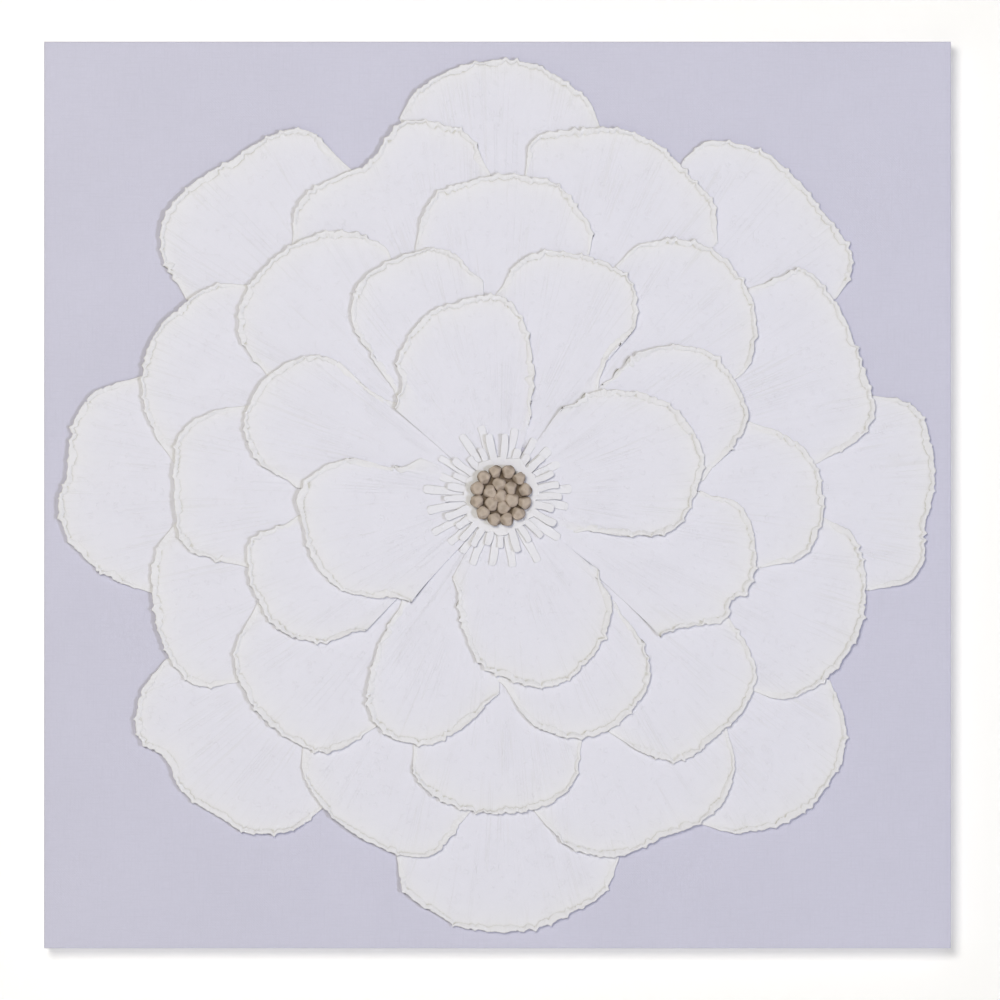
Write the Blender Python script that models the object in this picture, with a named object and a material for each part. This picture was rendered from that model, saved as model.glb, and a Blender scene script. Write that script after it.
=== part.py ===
"""Giant paper flower glued on a square stretched canvas.

The flower is built as a paper worker builds it. Five rings of thick handmade-paper petals are glued one
over the next, each leaning on the base of the ring below. Along every rim the paper is folded over on to
the petal's face in uneven pleats, and the free rims are crimped up from what lies below.
Two cut paper fringes and nineteen paper-clay seeds close the heart. The canvas is wrapped round four
mitred stretcher bars that a half-lapped cross brace keeps square, and it hangs from two sawtooth hangers.

Frame: X to the viewer's right, Z up, Y into the wall. The origin is the middle of the panel's back plane.
All sizes are in metres, except the petal outlines, which are drawn in millimetres from the flower's centre.
"""

import math

import bmesh
import bpy
import numpy as np

# Panel
PANEL_SIDE = 1.000
PANEL_DEPTH = 0.036
CANVAS_THICKNESS = 0.0008
FOLD_RADIUS = 0.0015
HEM_WIDTH = 0.025
BAR_WIDTH = 0.042
BEAD_WIDTH = 0.007
BEAD_HEIGHT = 0.004
INNER_SETBACK = 0.009
BRACE_WIDTH = 0.040
BRACE_THICKNESS = 0.018
TENON_LENGTH = 0.014
TENON_THICKNESS = 0.008
HANGER_LENGTH = 0.046
HANGER_HEIGHT = 0.009
HANGER_THICKNESS = 0.0008
HANGER_STANDOFF = 0.002
HANGER_SPACING = 0.440
HANGER_TEETH = 9
TOOTH_DEPTH = 0.002
TOOTHED_SHARE = 0.62
RAISED_SHARE = 0.76

# Flower
FLOWER_SPAN = 0.965
FLOWER_OFFSET_X = 0.004
FLOWER_OFFSET_Z = -0.0005
PAPER_THICKNESS = 0.0010
HEART_BASE = 0.008
RING_PITCH = 0.050
RIM_FOLD_WIDTH = 0.0068
RIM_PLEATS = (0.52, 0.86, 1.0, 0.66, 0.94, 0.58, 0.78)
RIM_RISE = 0.0016
CUP_WIDTH = 0.042
CUP_RISE = 0.0022
COVER_MARGIN = 0.008
FREE_RUN = 0.030
RIM_WAVES = 2
RIM_WAVE = 0.25
RIM_SEGMENTS = 24

# Heart of the flower
COLLAR_RADIUS = 0.036
LONG_STRIP_WIDTH = 0.0078
SHORT_STRIP_WIDTH = 0.0068
LONG_STRIP_RISE = 0.0015
SHORT_STRIP_RISE = 0.0040
STRIP_SHOULDER = 0.35
STRIP_TAPER = 0.80
SEED_DIAMETER = 0.0138
SEED_SQUASH = 0.94
SEED_FUSION = 0.94
OUTER_SEEDS = 12
OUTER_SEEDS_TURN = 13.5
INNER_SEEDS = 6
INNER_SEEDS_TURN = 41.0

# The strips of the two fringes, as the bearing in degrees, anticlockwise from the viewer's right, and the
# reach in millimetres from the flower's centre.
LONG_STRIPS = ((5, 78), (30, 74), (44, 74), (60, 73), (79, 76), (106, 80), (124, 80), (149, 80), (162, 71),
               (175, 86), (192, 83), (209, 86), (222, 78), (235, 77), (248, 83), (262, 78), (279, 80),
               (299, 84), (324, 80), (350, 75))
SHORT_STRIPS = ((10, 65), (24, 63), (42, 63), (56, 54), (70, 55), (87, 68), (101, 69), (115, 57), (129, 55),
                (142, 66), (156, 57), (170, 60), (184, 63), (201, 66), (215, 60), (228, 66), (241, 64),
                (254, 57), (269, 58), (287, 65), (301, 60), (314, 64), (333, 68), (345, 60), (358, 67))
MILLIMETRE = 0.001

# Pieces that touch keep this gap, and a fold that is pressed flat under a petal is this thick
CLEARANCE = 0.0003
PRESSED_FOLD = 0.0001

# The torn rim of every petal, clockwise as the viewer sees it, in millimetres from the flower's centre.
# A rim runs from where one side comes out from under its neighbours to where the other side goes back.
DRAWN_SPAN = 965.0
RIMS = {
    "outer": {
        "top": ((-111, 416), (-99, 439), (-65, 464), (-32, 476), (7, 480), (44, 472), (73, 455), (98, 434),
                (109, 404)),
        "upper_right": ((202, 370), (226, 390), (256, 389), (292, 377), (327, 348), (357, 309), (385, 271),
                        (386, 243), (369, 218)),
        "right": ((409, 109), (439, 106), (462, 91), (474, 57), (477, 8), (467, -38), (466, -72), (447, -96),
                  (405, -104)),
        "lower_right": ((362, -205), (377, -240), (379, -281), (363, -315), (337, -346), (294, -368),
                        (250, -371), (219, -361)),
        "bottom": ((129, -400), (116, -435), (76, -461), (43, -476), (1, -481), (-45, -476), (-78, -458),
                   (-108, -434), (-115, -393)),
        "lower_left": ((-195, -342), (-225, -367), (-275, -373), (-315, -352), (-353, -325), (-369, -292),
                       (-400, -267), (-397, -217), (-370, -182)),
        "left": ((-384, -107), (-423, -95), (-467, -62), (-488, -18), (-478, 26), (-472, 79), (-447, 115),
                 (-396, 131)),
        "upper_left": ((-346, 216), (-374, 265), (-370, 308), (-332, 350), (-301, 367), (-257, 395),
                       (-215, 403), (-185, 378), (-164, 357)),
    },
    "second": {
        "top_left": ((-230, 274), (-224, 322), (-181, 352), (-147, 367), (-110, 410), (-55, 407), (-36, 397),
                     (-12, 353)),
        "top_right": ((27, 350), (31, 386), (46, 399), (72, 402), (133, 403), (181, 381), (213, 348),
                      (235, 322), (238, 279)),
        "right_upper": ((273, 227), (301, 239), (333, 249), (365, 218), (388, 173), (405, 123), (411, 88),
                        (392, 60), (346, 35)),
        "right_lower": ((353, -24), (388, -44), (402, -104), (394, -152), (369, -192), (332, -219),
                        (303, -224), (271, -212)),
        "bottom_right": ((247, -254), (258, -294), (248, -332), (220, -360), (178, -377), (131, -397),
                         (82, -391), (49, -363), (36, -346)),
        "bottom_left": ((-34, -347), (-56, -378), (-74, -396), (-111, -396), (-153, -378), (-193, -347),
                        (-219, -305), (-218, -279)),
        "left_lower": ((-290, -205), (-332, -211), (-363, -184), (-381, -135), (-385, -83), (-378, -56),
                       (-358, -30)),
        "left_upper": ((-358, 33), (-384, 72), (-396, 122), (-384, 173), (-349, 212), (-313, 233),
                       (-278, 231)),
    },
    "third": {
        "top": ((-94, 271), (-90, 297), (-74, 330), (-30, 348), (11, 354), (65, 340), (89, 311), (101, 291),
                (96, 265)),
        "upper_right": ((126, 251), (148, 274), (195, 283), (238, 268), (273, 225), (282, 185), (271, 139),
                        (256, 128)),
        "right": ((272, 81), (315, 66), (345, 38), (355, -19), (342, -56), (326, -71), (286, -79)),
        "lower_right": ((250, -135), (273, -168), (282, -198), (268, -235), (230, -271), (195, -293),
                        (153, -282), (119, -260)),
        "bottom": ((88, -270), (82, -313), (54, -340), (13, -350), (-34, -348), (-67, -335), (-95, -309),
                   (-96, -272)),
        "lower_left": ((-138, -254), (-180, -281), (-219, -277), (-259, -248), (-292, -198), (-292, -165),
                       (-268, -119)),
        "left": ((-276, -79), (-316, -71), (-349, -56), (-359, -16), (-353, 70), (-310, 95), (-279, 98)),
        "upper_left": ((-256, 132), (-286, 168), (-287, 212), (-266, 246), (-226, 278), (-180, 292),
                       (-127, 273), (-122, 260)),
    },
    "fourth": {
        "top_left": ((-110, 105), (-143, 152), (-166, 196), (-154, 236), (-121, 259), (-78, 272), (-53, 268),
                     (-24, 236)),
        "top_right": ((-3, 219), (12, 250), (39, 268), (71, 268), (117, 256), (143, 236), (148, 185),
                      (125, 163), (103, 115)),
        "right_upper": ((115, 120), (154, 158), (201, 165), (233, 156), (261, 121), (272, 83), (255, 53),
                        (222, 20)),
        "right_lower": ((219, 1), (263, -9), (281, -67), (268, -110), (252, -115), (250, -135),
                        (207, -145), (178, -150)),
        "bottom_right": ((123, -121), (152, -155), (164, -200), (150, -231), (109, -264), (72, -266),
                         (35, -253), (-3, -200)),
        "bottom_left": ((-6, -218), (-32, -248), (-78, -274), (-123, -266), (-147, -233),
                        (-133, -159), (-104, -112)),
        "left_lower": ((-152, -146), (-200, -162), (-246, -146), (-275, -100), (-276, -50),
                       (-244, -34), (-222, -26)),
        "left_upper": ((-224, 12), (-263, 33), (-282, 64), (-277, 103), (-238, 146), (-189, 153),
                       (-155, 125), (-117, 98)),
    },
    "heart": {
        "top": ((-114, 100), (-109, 126), (-115, 143), (-103, 173), (-78, 203), (-51, 211), (-26, 220),
                (6, 217), (22, 197), (37, 131), (28, 89)),
        "right": ((72, 94), (103, 115), (140, 115), (179, 105), (205, 81), (223, 41), (216, 6),
                  (191, -37), (131, -44), (82, -36)),
        "bottom": ((103, -88), (122, -115), (116, -152), (93, -186), (57, -211), (10, -203),
                   (-22, -187), (-43, -145), (-49, -93)),
        "left": ((-104, -112), (-149, -112), (-184, -100), (-207, -71), (-220, -27), (-225, -1), (-203, 28),
                 (-166, 41), (-122, 31), (-90, 36)),
    },
}

# Half the width of the glued base of a petal in each ring, from the canvas up
HEEL_HALF_WIDTHS = {"outer": 0.034, "second": 0.030, "third": 0.024, "fourth": 0.015, "heart": 0.006}
RING_ORDER = tuple(HEEL_HALF_WIDTHS)

# Levels above the top ring, counted like the rings
LONG_FRINGE_LEVEL = len(RING_ORDER)
SHORT_FRINGE_LEVEL = LONG_FRINGE_LEVEL + 1

CURVE_STEPS = 16
CIRCLE_STEPS = 48
CUTTER_MARGIN = 0.002
GOLDEN_ANGLE = math.pi * (3.0 - math.sqrt(5.0))


def clear_scene():
    """Remove every object of the open scene."""
    for thing in list(bpy.data.objects):
        bpy.data.objects.remove(thing, do_unlink=True)


def make_finish(name, colour, roughness, metallic=0.0):
    """A Principled material with one colour."""
    finish = bpy.data.materials.new(name)
    finish.use_nodes = True
    shader = finish.node_tree.nodes["Principled BSDF"]
    shader.inputs["Base Color"].default_value = (*colour, 1.0)
    shader.inputs["Roughness"].default_value = roughness
    shader.inputs["Metallic"].default_value = metallic
    return finish


def add_empty(name, location):
    """An empty that carries the pieces of one sub-assembly."""
    carrier = bpy.data.objects.new(name, None)
    carrier.location = location
    bpy.context.scene.collection.objects.link(carrier)
    return carrier


def add_part(name, shape, finish, carrier):
    """Turn a bmesh into a named object on its carrier."""
    mesh = bpy.data.meshes.new(name)
    shape.to_mesh(mesh)
    shape.free()
    if finish:
        mesh.materials.append(finish)
    part = bpy.data.objects.new(name, mesh)
    part.parent = carrier
    bpy.context.scene.collection.objects.link(part)
    return part


def thicken(part, thickness):
    """Give an open sheet its thickness on the side that its normals point to."""
    solidify = part.modifiers.new("Thickness", "SOLIDIFY")
    solidify.thickness = thickness
    solidify.offset = 1.0


def combine(part, tool, operation):
    """Cut a hidden tool from a part, or join it on."""
    tool.hide_render = True
    tool.display_type = "WIRE"
    boolean = part.modifiers.new(tool.name, "BOOLEAN")
    boolean.operation = operation
    boolean.solver = "EXACT"
    boolean.object = tool


def box_shape(low, high):
    """A box between two opposite corners."""
    shape = bmesh.new()
    bmesh.ops.create_cube(shape, size=1.0)
    for vert in shape.verts:
        for axis in range(3):
            vert.co[axis] = low[axis] + (vert.co[axis] + 0.5) * (high[axis] - low[axis])
    return shape


def prism_shape(profile, half_length):
    """A profile in the YZ plane, drawn out along X to both sides."""
    shape = bmesh.new()
    left = [shape.verts.new((-half_length, y, z)) for y, z in profile]
    face = shape.faces.new(left)
    drawn = bmesh.ops.extrude_face_region(shape, geom=[face])
    moved = [item for item in drawn["geom"] if isinstance(item, bmesh.types.BMVert)]
    bmesh.ops.translate(shape, verts=moved, vec=(2.0 * half_length, 0.0, 0.0))
    bmesh.ops.recalc_face_normals(shape, faces=shape.faces)
    return shape


# Canvas and stretcher

BAR_OUTER = PANEL_SIDE / 2 - CANVAS_THICKNESS - CLEARANCE
BAR_INNER = BAR_OUTER - BAR_WIDTH
BAR_BACK = -(CANVAS_THICKNESS + CLEARANCE)
BAR_FRONT = -(PANEL_DEPTH - CANVAS_THICKNESS - CLEARANCE)
TENON_BACK = -(BRACE_THICKNESS - TENON_THICKNESS) / 2
TENON_FRONT = TENON_BACK - TENON_THICKNESS


def build_canvas(finish, carrier):
    """The canvas: a square front folded over the four sides and hemmed flat on the back."""
    half = PANEL_SIDE / 2
    canvas = add_part("canvas", box_shape((-half, -PANEL_DEPTH, -half), (half, 0.0, half)), finish, carrier)
    fold = canvas.modifiers.new("Folded edges", "BEVEL")
    fold.width = FOLD_RADIUS
    fold.segments = 2
    inside = half - CANVAS_THICKNESS
    hollow = box_shape(
        (-inside, -PANEL_DEPTH + CANVAS_THICKNESS, -inside),
        (inside, -CANVAS_THICKNESS, inside),
    )
    hem = half - HEM_WIDTH
    opening = box_shape((-hem, -2 * CANVAS_THICKNESS, -hem), (hem, CUTTER_MARGIN, hem))
    combine(canvas, add_part("canvas_hollow", hollow, None, carrier), "DIFFERENCE")
    combine(canvas, add_part("canvas_opening", opening, None, carrier), "DIFFERENCE")


def bar_shape():
    """The top stretcher bar, mitred at both ends.

    Its section has a raised bead along the outer edge, which alone carries the cloth, and falls away inward.
    """
    section = (
        (0.0, BAR_BACK),
        (BAR_WIDTH, BAR_BACK),
        (BAR_WIDTH, BAR_FRONT + INNER_SETBACK),
        (BEAD_WIDTH, BAR_FRONT + BEAD_HEIGHT),
        (BEAD_WIDTH / 2, BAR_FRONT),
        (0.0, BAR_FRONT),
    )
    mitre_gap = CLEARANCE / math.sqrt(2.0)
    shape = bmesh.new()
    ends = []
    for side in (-1, 1):
        ends.append([shape.verts.new((side * (BAR_OUTER - across - mitre_gap), y, BAR_OUTER - across))
                     for across, y in section])
    left, right = ends
    shape.faces.new(left)
    shape.faces.new(right)
    for index in range(len(section)):
        following = (index + 1) % len(section)
        shape.faces.new((left[index], left[following], right[following], right[index]))
    bmesh.ops.recalc_face_normals(shape, faces=shape.faces)
    return shape


def build_bars(finish, carrier):
    """Four equal bars round the square, each mortised in the middle for the brace's tenon."""
    half_mortise = BRACE_WIDTH / 2 + CLEARANCE
    floor = BAR_INNER + TENON_LENGTH
    for index, name in enumerate(("bar_top", "bar_right", "bar_bottom", "bar_left")):
        turn = (0.0, index * math.pi / 2, 0.0)
        bar = add_part(name, bar_shape(), finish, carrier)
        bar.rotation_euler = turn
        mortise = box_shape(
            (-half_mortise, TENON_FRONT - CLEARANCE, BAR_INNER - CUTTER_MARGIN),
            (half_mortise, TENON_BACK + CLEARANCE, floor),
        )
        cutter = add_part(name + "_mortise", mortise, None, carrier)
        cutter.rotation_euler = turn
        combine(bar, cutter, "DIFFERENCE")


def brace_profile(lap_at_front):
    """One brace from the side, as (depth, along): a tenon at each end and a half lap in the middle."""
    shoulder = BAR_INNER - CLEARANCE
    tip = shoulder + TENON_LENGTH
    lap = BRACE_WIDTH / 2 + CLEARANCE
    front = -BRACE_THICKNESS
    middle = front / 2
    back_edge = [(0.0, -shoulder), (0.0, shoulder)]
    front_edge = [(front, shoulder), (front, -shoulder)]
    if lap_at_front:
        lap_floor = middle + CLEARANCE / 2
        front_edge[1:1] = [(front, lap), (lap_floor, lap), (lap_floor, -lap), (front, -lap)]
    else:
        lap_floor = middle - CLEARANCE / 2
        back_edge[1:1] = [(0.0, -lap), (lap_floor, -lap), (lap_floor, lap), (0.0, lap)]
    upper_tenon = [(TENON_BACK, shoulder), (TENON_BACK, tip), (TENON_FRONT, tip), (TENON_FRONT, shoulder)]
    lower_tenon = [(depth, -along) for depth, along in reversed(upper_tenon)]
    return back_edge + upper_tenon + front_edge + lower_tenon


def build_braces(finish, carrier):
    """The two braces of the cross, let into each other at the middle."""
    add_part("brace_vertical", prism_shape(brace_profile(True), BRACE_WIDTH / 2), finish, carrier)
    across = add_part("brace_horizontal", prism_shape(brace_profile(False), BRACE_WIDTH / 2), finish, carrier)
    across.rotation_euler = (0.0, math.pi / 2, 0.0)


def hanger_shape():
    """A sawtooth hanger: a steel strip with teeth along its lower edge and a raised middle."""
    reach = HANGER_LENGTH / 2
    toothed = reach * TOOTHED_SHARE
    foot = reach * RAISED_SHARE
    stations = [(-reach, 0.0, 0.0), (-foot, 0.0, 0.0)]
    for step in range(2 * HANGER_TEETH + 1):
        along = toothed * (step / HANGER_TEETH - 1.0)
        stations.append((along, TOOTH_DEPTH * (step % 2), HANGER_STANDOFF))
    stations += [(foot, 0.0, 0.0), (reach, 0.0, 0.0)]
    shape = bmesh.new()
    upper = [shape.verts.new((x, rise, HANGER_HEIGHT / 2)) for x, _, rise in stations]
    lower = [shape.verts.new((x, rise, notch - HANGER_HEIGHT / 2)) for x, notch, rise in stations]
    for index in range(len(stations) - 1):
        shape.faces.new((upper[index], upper[index + 1], lower[index + 1], lower[index]))
    return shape


def build_hangers(finish, carrier):
    """Two hangers on the bare wood of the top bar, between the hem and the bar's inner edge."""
    bare_low = BAR_INNER
    bare_high = PANEL_SIDE / 2 - HEM_WIDTH
    for name, side in (("hanger_left", -1), ("hanger_right", 1)):
        hanger = add_part(name, hanger_shape(), finish, carrier)
        hanger.location = (side * HANGER_SPACING / 2, BAR_BACK + CLEARANCE, (bare_low + bare_high) / 2)
        thicken(hanger, HANGER_THICKNESS)


# Petals

def bed_height(level, radius):
    """How far the underside of a sheet lies in front of the canvas.

    Every sheet leans outward at one slope, so that a ring lies flat on the ring below, one paper and one
    clearance higher, and touches the canvas with its base. The outer ring is level 0.
    """
    step = PAPER_THICKNESS + CLEARANCE
    base = HEART_BASE + (len(RING_ORDER) - 1 - level) * RING_PITCH
    return CLEARANCE + step * (radius - base) / RING_PITCH


def smooth(value):
    """An even step from 0 to 1."""
    value = np.clip(value, 0.0, 1.0)
    return value * value * (3.0 - 2.0 * value)


def blend_rim(corners, count):
    """Evenly spaced points on a centripetal Catmull-Rom curve through the drawn corners."""
    corners = np.asarray(corners, dtype=float)
    padded = np.vstack((2 * corners[0] - corners[1], corners, 2 * corners[-1] - corners[-2]))
    pieces = []
    for index in range(1, len(padded) - 2):
        a, b, c, d = padded[index - 1:index + 3]
        knots = np.cumsum([0.0] + [math.sqrt(math.dist(p, q)) for p, q in ((a, b), (b, c), (c, d))])
        t = np.linspace(knots[1], knots[2], CURVE_STEPS, endpoint=False)[:, None]

        def between(p, q, start, end):
            return ((end - t) * p + (t - start) * q) / (end - start)

        ab = between(a, b, knots[0], knots[1])
        bc = between(b, c, knots[1], knots[2])
        cd = between(c, d, knots[2], knots[3])
        abc = between(ab, bc, knots[0], knots[2])
        bcd = between(bc, cd, knots[1], knots[3])
        pieces.append(between(abc, bcd, knots[1], knots[2]))
    curve = np.vstack(pieces + [corners[-1:]])
    travelled = np.concatenate(([0.0], np.cumsum(np.linalg.norm(np.diff(curve, axis=0), axis=1))))
    stops = np.linspace(0.0, travelled[-1], count)
    return np.column_stack([np.interp(stops, travelled, curve[:, axis]) for axis in range(2)])


def petal_rows(ring, drawn):
    """The rim of one petal and the matching points of its base, as (x, z) from the flower's centre."""
    rim = blend_rim(drawn, RIM_SEGMENTS + 1) * (FLOWER_SPAN / DRAWN_SPAN)
    heading = rim.mean(axis=0)
    heading /= np.linalg.norm(heading)
    clockwise = np.array((heading[1], -heading[0]))
    level = RING_ORDER.index(ring)
    base = HEART_BASE + (len(RING_ORDER) - 1 - level) * RING_PITCH
    spread = np.linspace(-1.0, 1.0, RIM_SEGMENTS + 1)[:, None] * HEEL_HALF_WIDTHS[ring]
    return rim, heading * base + clockwise * spread


def free_of_cover(points, covers):
    """How free each point is of the sheets above it: 0 up to a margin round them, then rising to 1."""
    nearest = np.full(len(points), COVER_MARGIN + FREE_RUN)
    for cover in covers:
        start = cover
        end = np.roll(cover, -1, axis=0)
        run = end - start
        offset = points[:, None, :] - start[None, :, :]
        along = np.clip((offset * run).sum(axis=2) / (run * run).sum(axis=1), 0.0, 1.0)
        gap = np.linalg.norm(offset - along[:, :, None] * run, axis=2).min(axis=1)
        level = points[:, None, 1]
        spans = (start[:, 1] > level) != (end[:, 1] > level)
        rise = np.where(run[:, 1] == 0.0, 1.0, run[:, 1])
        crossing = start[:, 0] + (level - start[:, 1]) * run[:, 0] / rise
        inside = (spans & (points[:, None, 0] < crossing)).sum(axis=1) % 2 == 1
        nearest = np.minimum(nearest, np.where(inside, 0.0, gap))
    return smooth((nearest - COVER_MARGIN) / FREE_RUN)


def petal_shape(ring, drawn, covers, turn):
    """One petal: a sheet that runs from its base over a cupped edge to the rim, where it is folded over.

    The rows of points go round the sheet's section: out along the underside, up over the rim, back along
    the fold to its torn edge, down on to the face, and in along the face to the base.
    """
    rim, heel = petal_rows(ring, drawn)
    fibre = heel - rim
    fibre /= np.linalg.norm(fibre, axis=1)[:, None]
    places = np.arange(RIM_SEGMENTS + 1)
    wave = 1.0 + RIM_WAVE * np.sin(2.0 * math.pi * RIM_WAVES * places / RIM_SEGMENTS + turn * GOLDEN_ANGLE)
    pleats = np.take(RIM_PLEATS, places + turn, mode="wrap")[:, None]
    level = RING_ORDER.index(ring)
    shape = bmesh.new()

    def row(points, rise, folded, stride):
        free = free_of_cover(points, covers)
        height = bed_height(level, np.linalg.norm(points, axis=1)) + rise * free
        if folded is not None:
            height += PAPER_THICKNESS + folded * (PRESSED_FOLD + (PAPER_THICKNESS - PRESSED_FOLD) * free)
        return [shape.verts.new((x, -h, z)) for (x, z), h in zip(points[::stride], height[::stride])]

    crease = rim + fibre * RIM_FOLD_WIDTH * pleats
    cup = rim + fibre * CUP_WIDTH
    rim_rise = (CUP_RISE + RIM_RISE) * wave
    crease_rise = CUP_RISE * wave
    section = (
        row(heel, 0.0, None, 4),
        row(cup, 0.0, None, 2),
        row(crease, crease_rise, None, 2),
        row(rim, rim_rise, None, 1),
        row(rim, rim_rise, 1.0, 1),
        row(crease, crease_rise, 1.0, 1),
        row(crease, crease_rise, 0.0, 1),
        row(cup, 0.0, 0.0, 2),
        row(heel, 0.0, 0.0, 4),
    )
    for first, second in zip(section, section[1:] + section[:1]):
        stitch(shape, first, second)
    for side in (0, -1):
        shape.faces.new([line[side] for line in section])
    bmesh.ops.recalc_face_normals(shape, faces=shape.faces)
    return shape


def stitch(shape, first, second):
    """Fill the band between two rows of a petal, which have as many points, or one twice the segments."""
    fine, coarse = (first, second) if len(first) >= len(second) else (second, first)
    ratio = (len(fine) - 1) // (len(coarse) - 1)
    for index in range(len(coarse) - 1):
        left, right = coarse[index], coarse[index + 1]
        if ratio == 1:
            shape.faces.new((fine[index + 1], fine[index], left, right))
            continue
        start, centre, end = fine[2 * index:2 * index + 3]
        shape.faces.new((centre, start, left))
        shape.faces.new((right, centre, left))
        shape.faces.new((end, centre, right))


def longest_reach(strips):
    """How far the longest strip of a fringe reaches from the flower's centre."""
    return MILLIMETRE * max(reach for _, reach in strips)


def fringe_edge():
    """The circle that the long fringe reaches, as a cover for the petals below."""
    bearings = np.linspace(0.0, 2.0 * math.pi, CIRCLE_STEPS, endpoint=False)
    return longest_reach(LONG_STRIPS) * np.column_stack((np.cos(bearings), np.sin(bearings)))


def build_petals(finish, carrier):
    """All petals, ring by ring from the canvas up."""
    outlines = {ring: [np.vstack((rim, heel[::-1])) for rim, heel in
                       (petal_rows(ring, drawn) for drawn in RIMS[ring].values())] for ring in RING_ORDER}
    count = 0
    for level, ring in enumerate(RING_ORDER):
        covers = [fringe_edge()]
        for upper in RING_ORDER[level + 1:]:
            covers += outlines[upper]
        for place, drawn in RIMS[ring].items():
            add_part(f"petal_{ring}_{place}", petal_shape(ring, drawn, covers, count), finish, carrier)
            count += 1


# Fringes and seeds

def fringe_shape(level, strips, width, rise, lift_from):
    """A flat paper collar with round-ended strips cut all round, which lie flat and lift at their tips."""
    half_angle = width / COLLAR_RADIUS / 2
    longest = longest_reach(strips)
    shape = bmesh.new()
    collar = []

    def place(radius, bearing, offset):
        lift = rise * float(smooth((radius - lift_from) / (longest - lift_from)))
        x = radius * math.cos(bearing) - offset * math.sin(bearing)
        z = radius * math.sin(bearing) + offset * math.cos(bearing)
        return shape.verts.new((x, -(bed_height(level, radius) + lift), z))

    for degrees, reach in strips:
        bearing = math.radians(degrees)
        tip = reach * MILLIMETRE
        sides = (-width / 2, width / 2)
        roots = [place(COLLAR_RADIUS, bearing + side * half_angle, 0.0) for side in (-1, 1)]
        knees = [place((COLLAR_RADIUS + tip) / 2, bearing, side) for side in sides]
        shoulders = [place(tip - STRIP_SHOULDER * width, bearing, STRIP_TAPER * side) for side in sides]
        end = place(tip, bearing, 0.0)
        shape.faces.new((roots[0], knees[0], knees[1], roots[1]))
        shape.faces.new((knees[0], shoulders[0], shoulders[1], knees[1]))
        shape.faces.new((shoulders[0], end, shoulders[1]))
        collar += roots
    shape.faces.new(collar)
    return shape


def build_fringes(finish, carrier):
    """The long fringe, and the short one glued on it."""
    layers = (
        ("fringe_long", LONG_FRINGE_LEVEL, LONG_STRIPS, LONG_STRIP_WIDTH, LONG_STRIP_RISE,
         longest_reach(SHORT_STRIPS) + CLEARANCE),
        ("fringe_short", SHORT_FRINGE_LEVEL, SHORT_STRIPS, SHORT_STRIP_WIDTH, SHORT_STRIP_RISE,
         COLLAR_RADIUS),
    )
    for name, level, strips, width, rise, lift_from in layers:
        fringe = add_part(name, fringe_shape(level, strips, width, rise, lift_from), finish, carrier)
        thicken(fringe, PAPER_THICKNESS)


def seed_shape():
    """One seed, rolled by hand and pressed a little flat towards the collar."""
    shape = bmesh.new()
    bmesh.ops.create_icosphere(shape, subdivisions=2, radius=SEED_DIAMETER / 2)
    bmesh.ops.scale(shape, verts=shape.verts, vec=(1.0, SEED_SQUASH, 1.0))
    return shape


def build_seeds(finish, carrier):
    """Twelve seeds in a ring on the collar, round a cluster of seven that are pressed together."""
    seat = bed_height(SHORT_FRINGE_LEVEL, COLLAR_RADIUS) + PAPER_THICKNESS + CLEARANCE
    height = -(seat + SEED_SQUASH * SEED_DIAMETER / 2)
    ring_radius = (SEED_DIAMETER + CLEARANCE) / (2.0 * math.sin(math.pi / OUTER_SEEDS))
    for index in range(OUTER_SEEDS):
        bearing = math.radians(OUTER_SEEDS_TURN) + 2.0 * math.pi * index / OUTER_SEEDS
        seed = add_part(f"seed_{index + 1:02d}", seed_shape(), finish, carrier)
        seed.location = (ring_radius * math.cos(bearing), height, ring_radius * math.sin(bearing))
        seed.rotation_euler = (0.0, index * GOLDEN_ANGLE, 0.0)
    cluster = add_part("seed_cluster", seed_shape(), finish, carrier)
    cluster.location = (0.0, height, 0.0)
    inner_radius = SEED_FUSION * SEED_DIAMETER
    for index in range(INNER_SEEDS):
        bearing = math.radians(INNER_SEEDS_TURN) + 2.0 * math.pi * index / INNER_SEEDS
        lobe = add_part(f"seed_cluster_lobe_{index + 1}", seed_shape(), None, carrier)
        lobe.location = (inner_radius * math.cos(bearing), height, inner_radius * math.sin(bearing))
        lobe.rotation_euler = (0.0, (index + 1) * GOLDEN_ANGLE, 0.0)
        combine(cluster, lobe, "UNION")


def main():
    """Build the panel, then the flower on its front."""
    clear_scene()
    linen = make_finish("Linen canvas", (0.55, 0.54, 0.64), 0.9)
    pine = make_finish("Pine", (0.68, 0.50, 0.31), 0.6)
    steel = make_finish("Steel", (0.55, 0.55, 0.56), 0.35, 1.0)
    paper = make_finish("Handmade paper", (0.78, 0.77, 0.82), 0.85)
    white_paper = make_finish("White paper", (0.85, 0.84, 0.86), 0.8)
    clay = make_finish("Paper clay", (0.46, 0.38, 0.31), 0.9)

    panel = add_empty("panel", (0.0, 0.0, 0.0))
    build_canvas(linen, panel)
    build_bars(pine, panel)
    build_braces(pine, panel)
    build_hangers(steel, panel)

    flower = add_empty("flower", (FLOWER_OFFSET_X, -PANEL_DEPTH, FLOWER_OFFSET_Z))
    build_petals(paper, flower)
    build_fringes(white_paper, flower)
    build_seeds(clay, flower)


main()
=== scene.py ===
"""Giant paper flower on a stretched canvas: the looks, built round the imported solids.

Every petal is a sheet of thick handmade paper whose rim is folded over on to its face in uneven pleats.
Two cut fringes and nineteen seeds of paper clay fill the heart. The canvas is wrapped over pine bars and
stapled behind.

Frame: X to the viewer's right, Z up, Y into the wall, all in metres. In this file "above" a sheet means
towards the viewer, which is along -Y, and heights are measured that way from the canvas's front.
"""

import logging
import math
from dataclasses import dataclass
from enum import Enum

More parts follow.
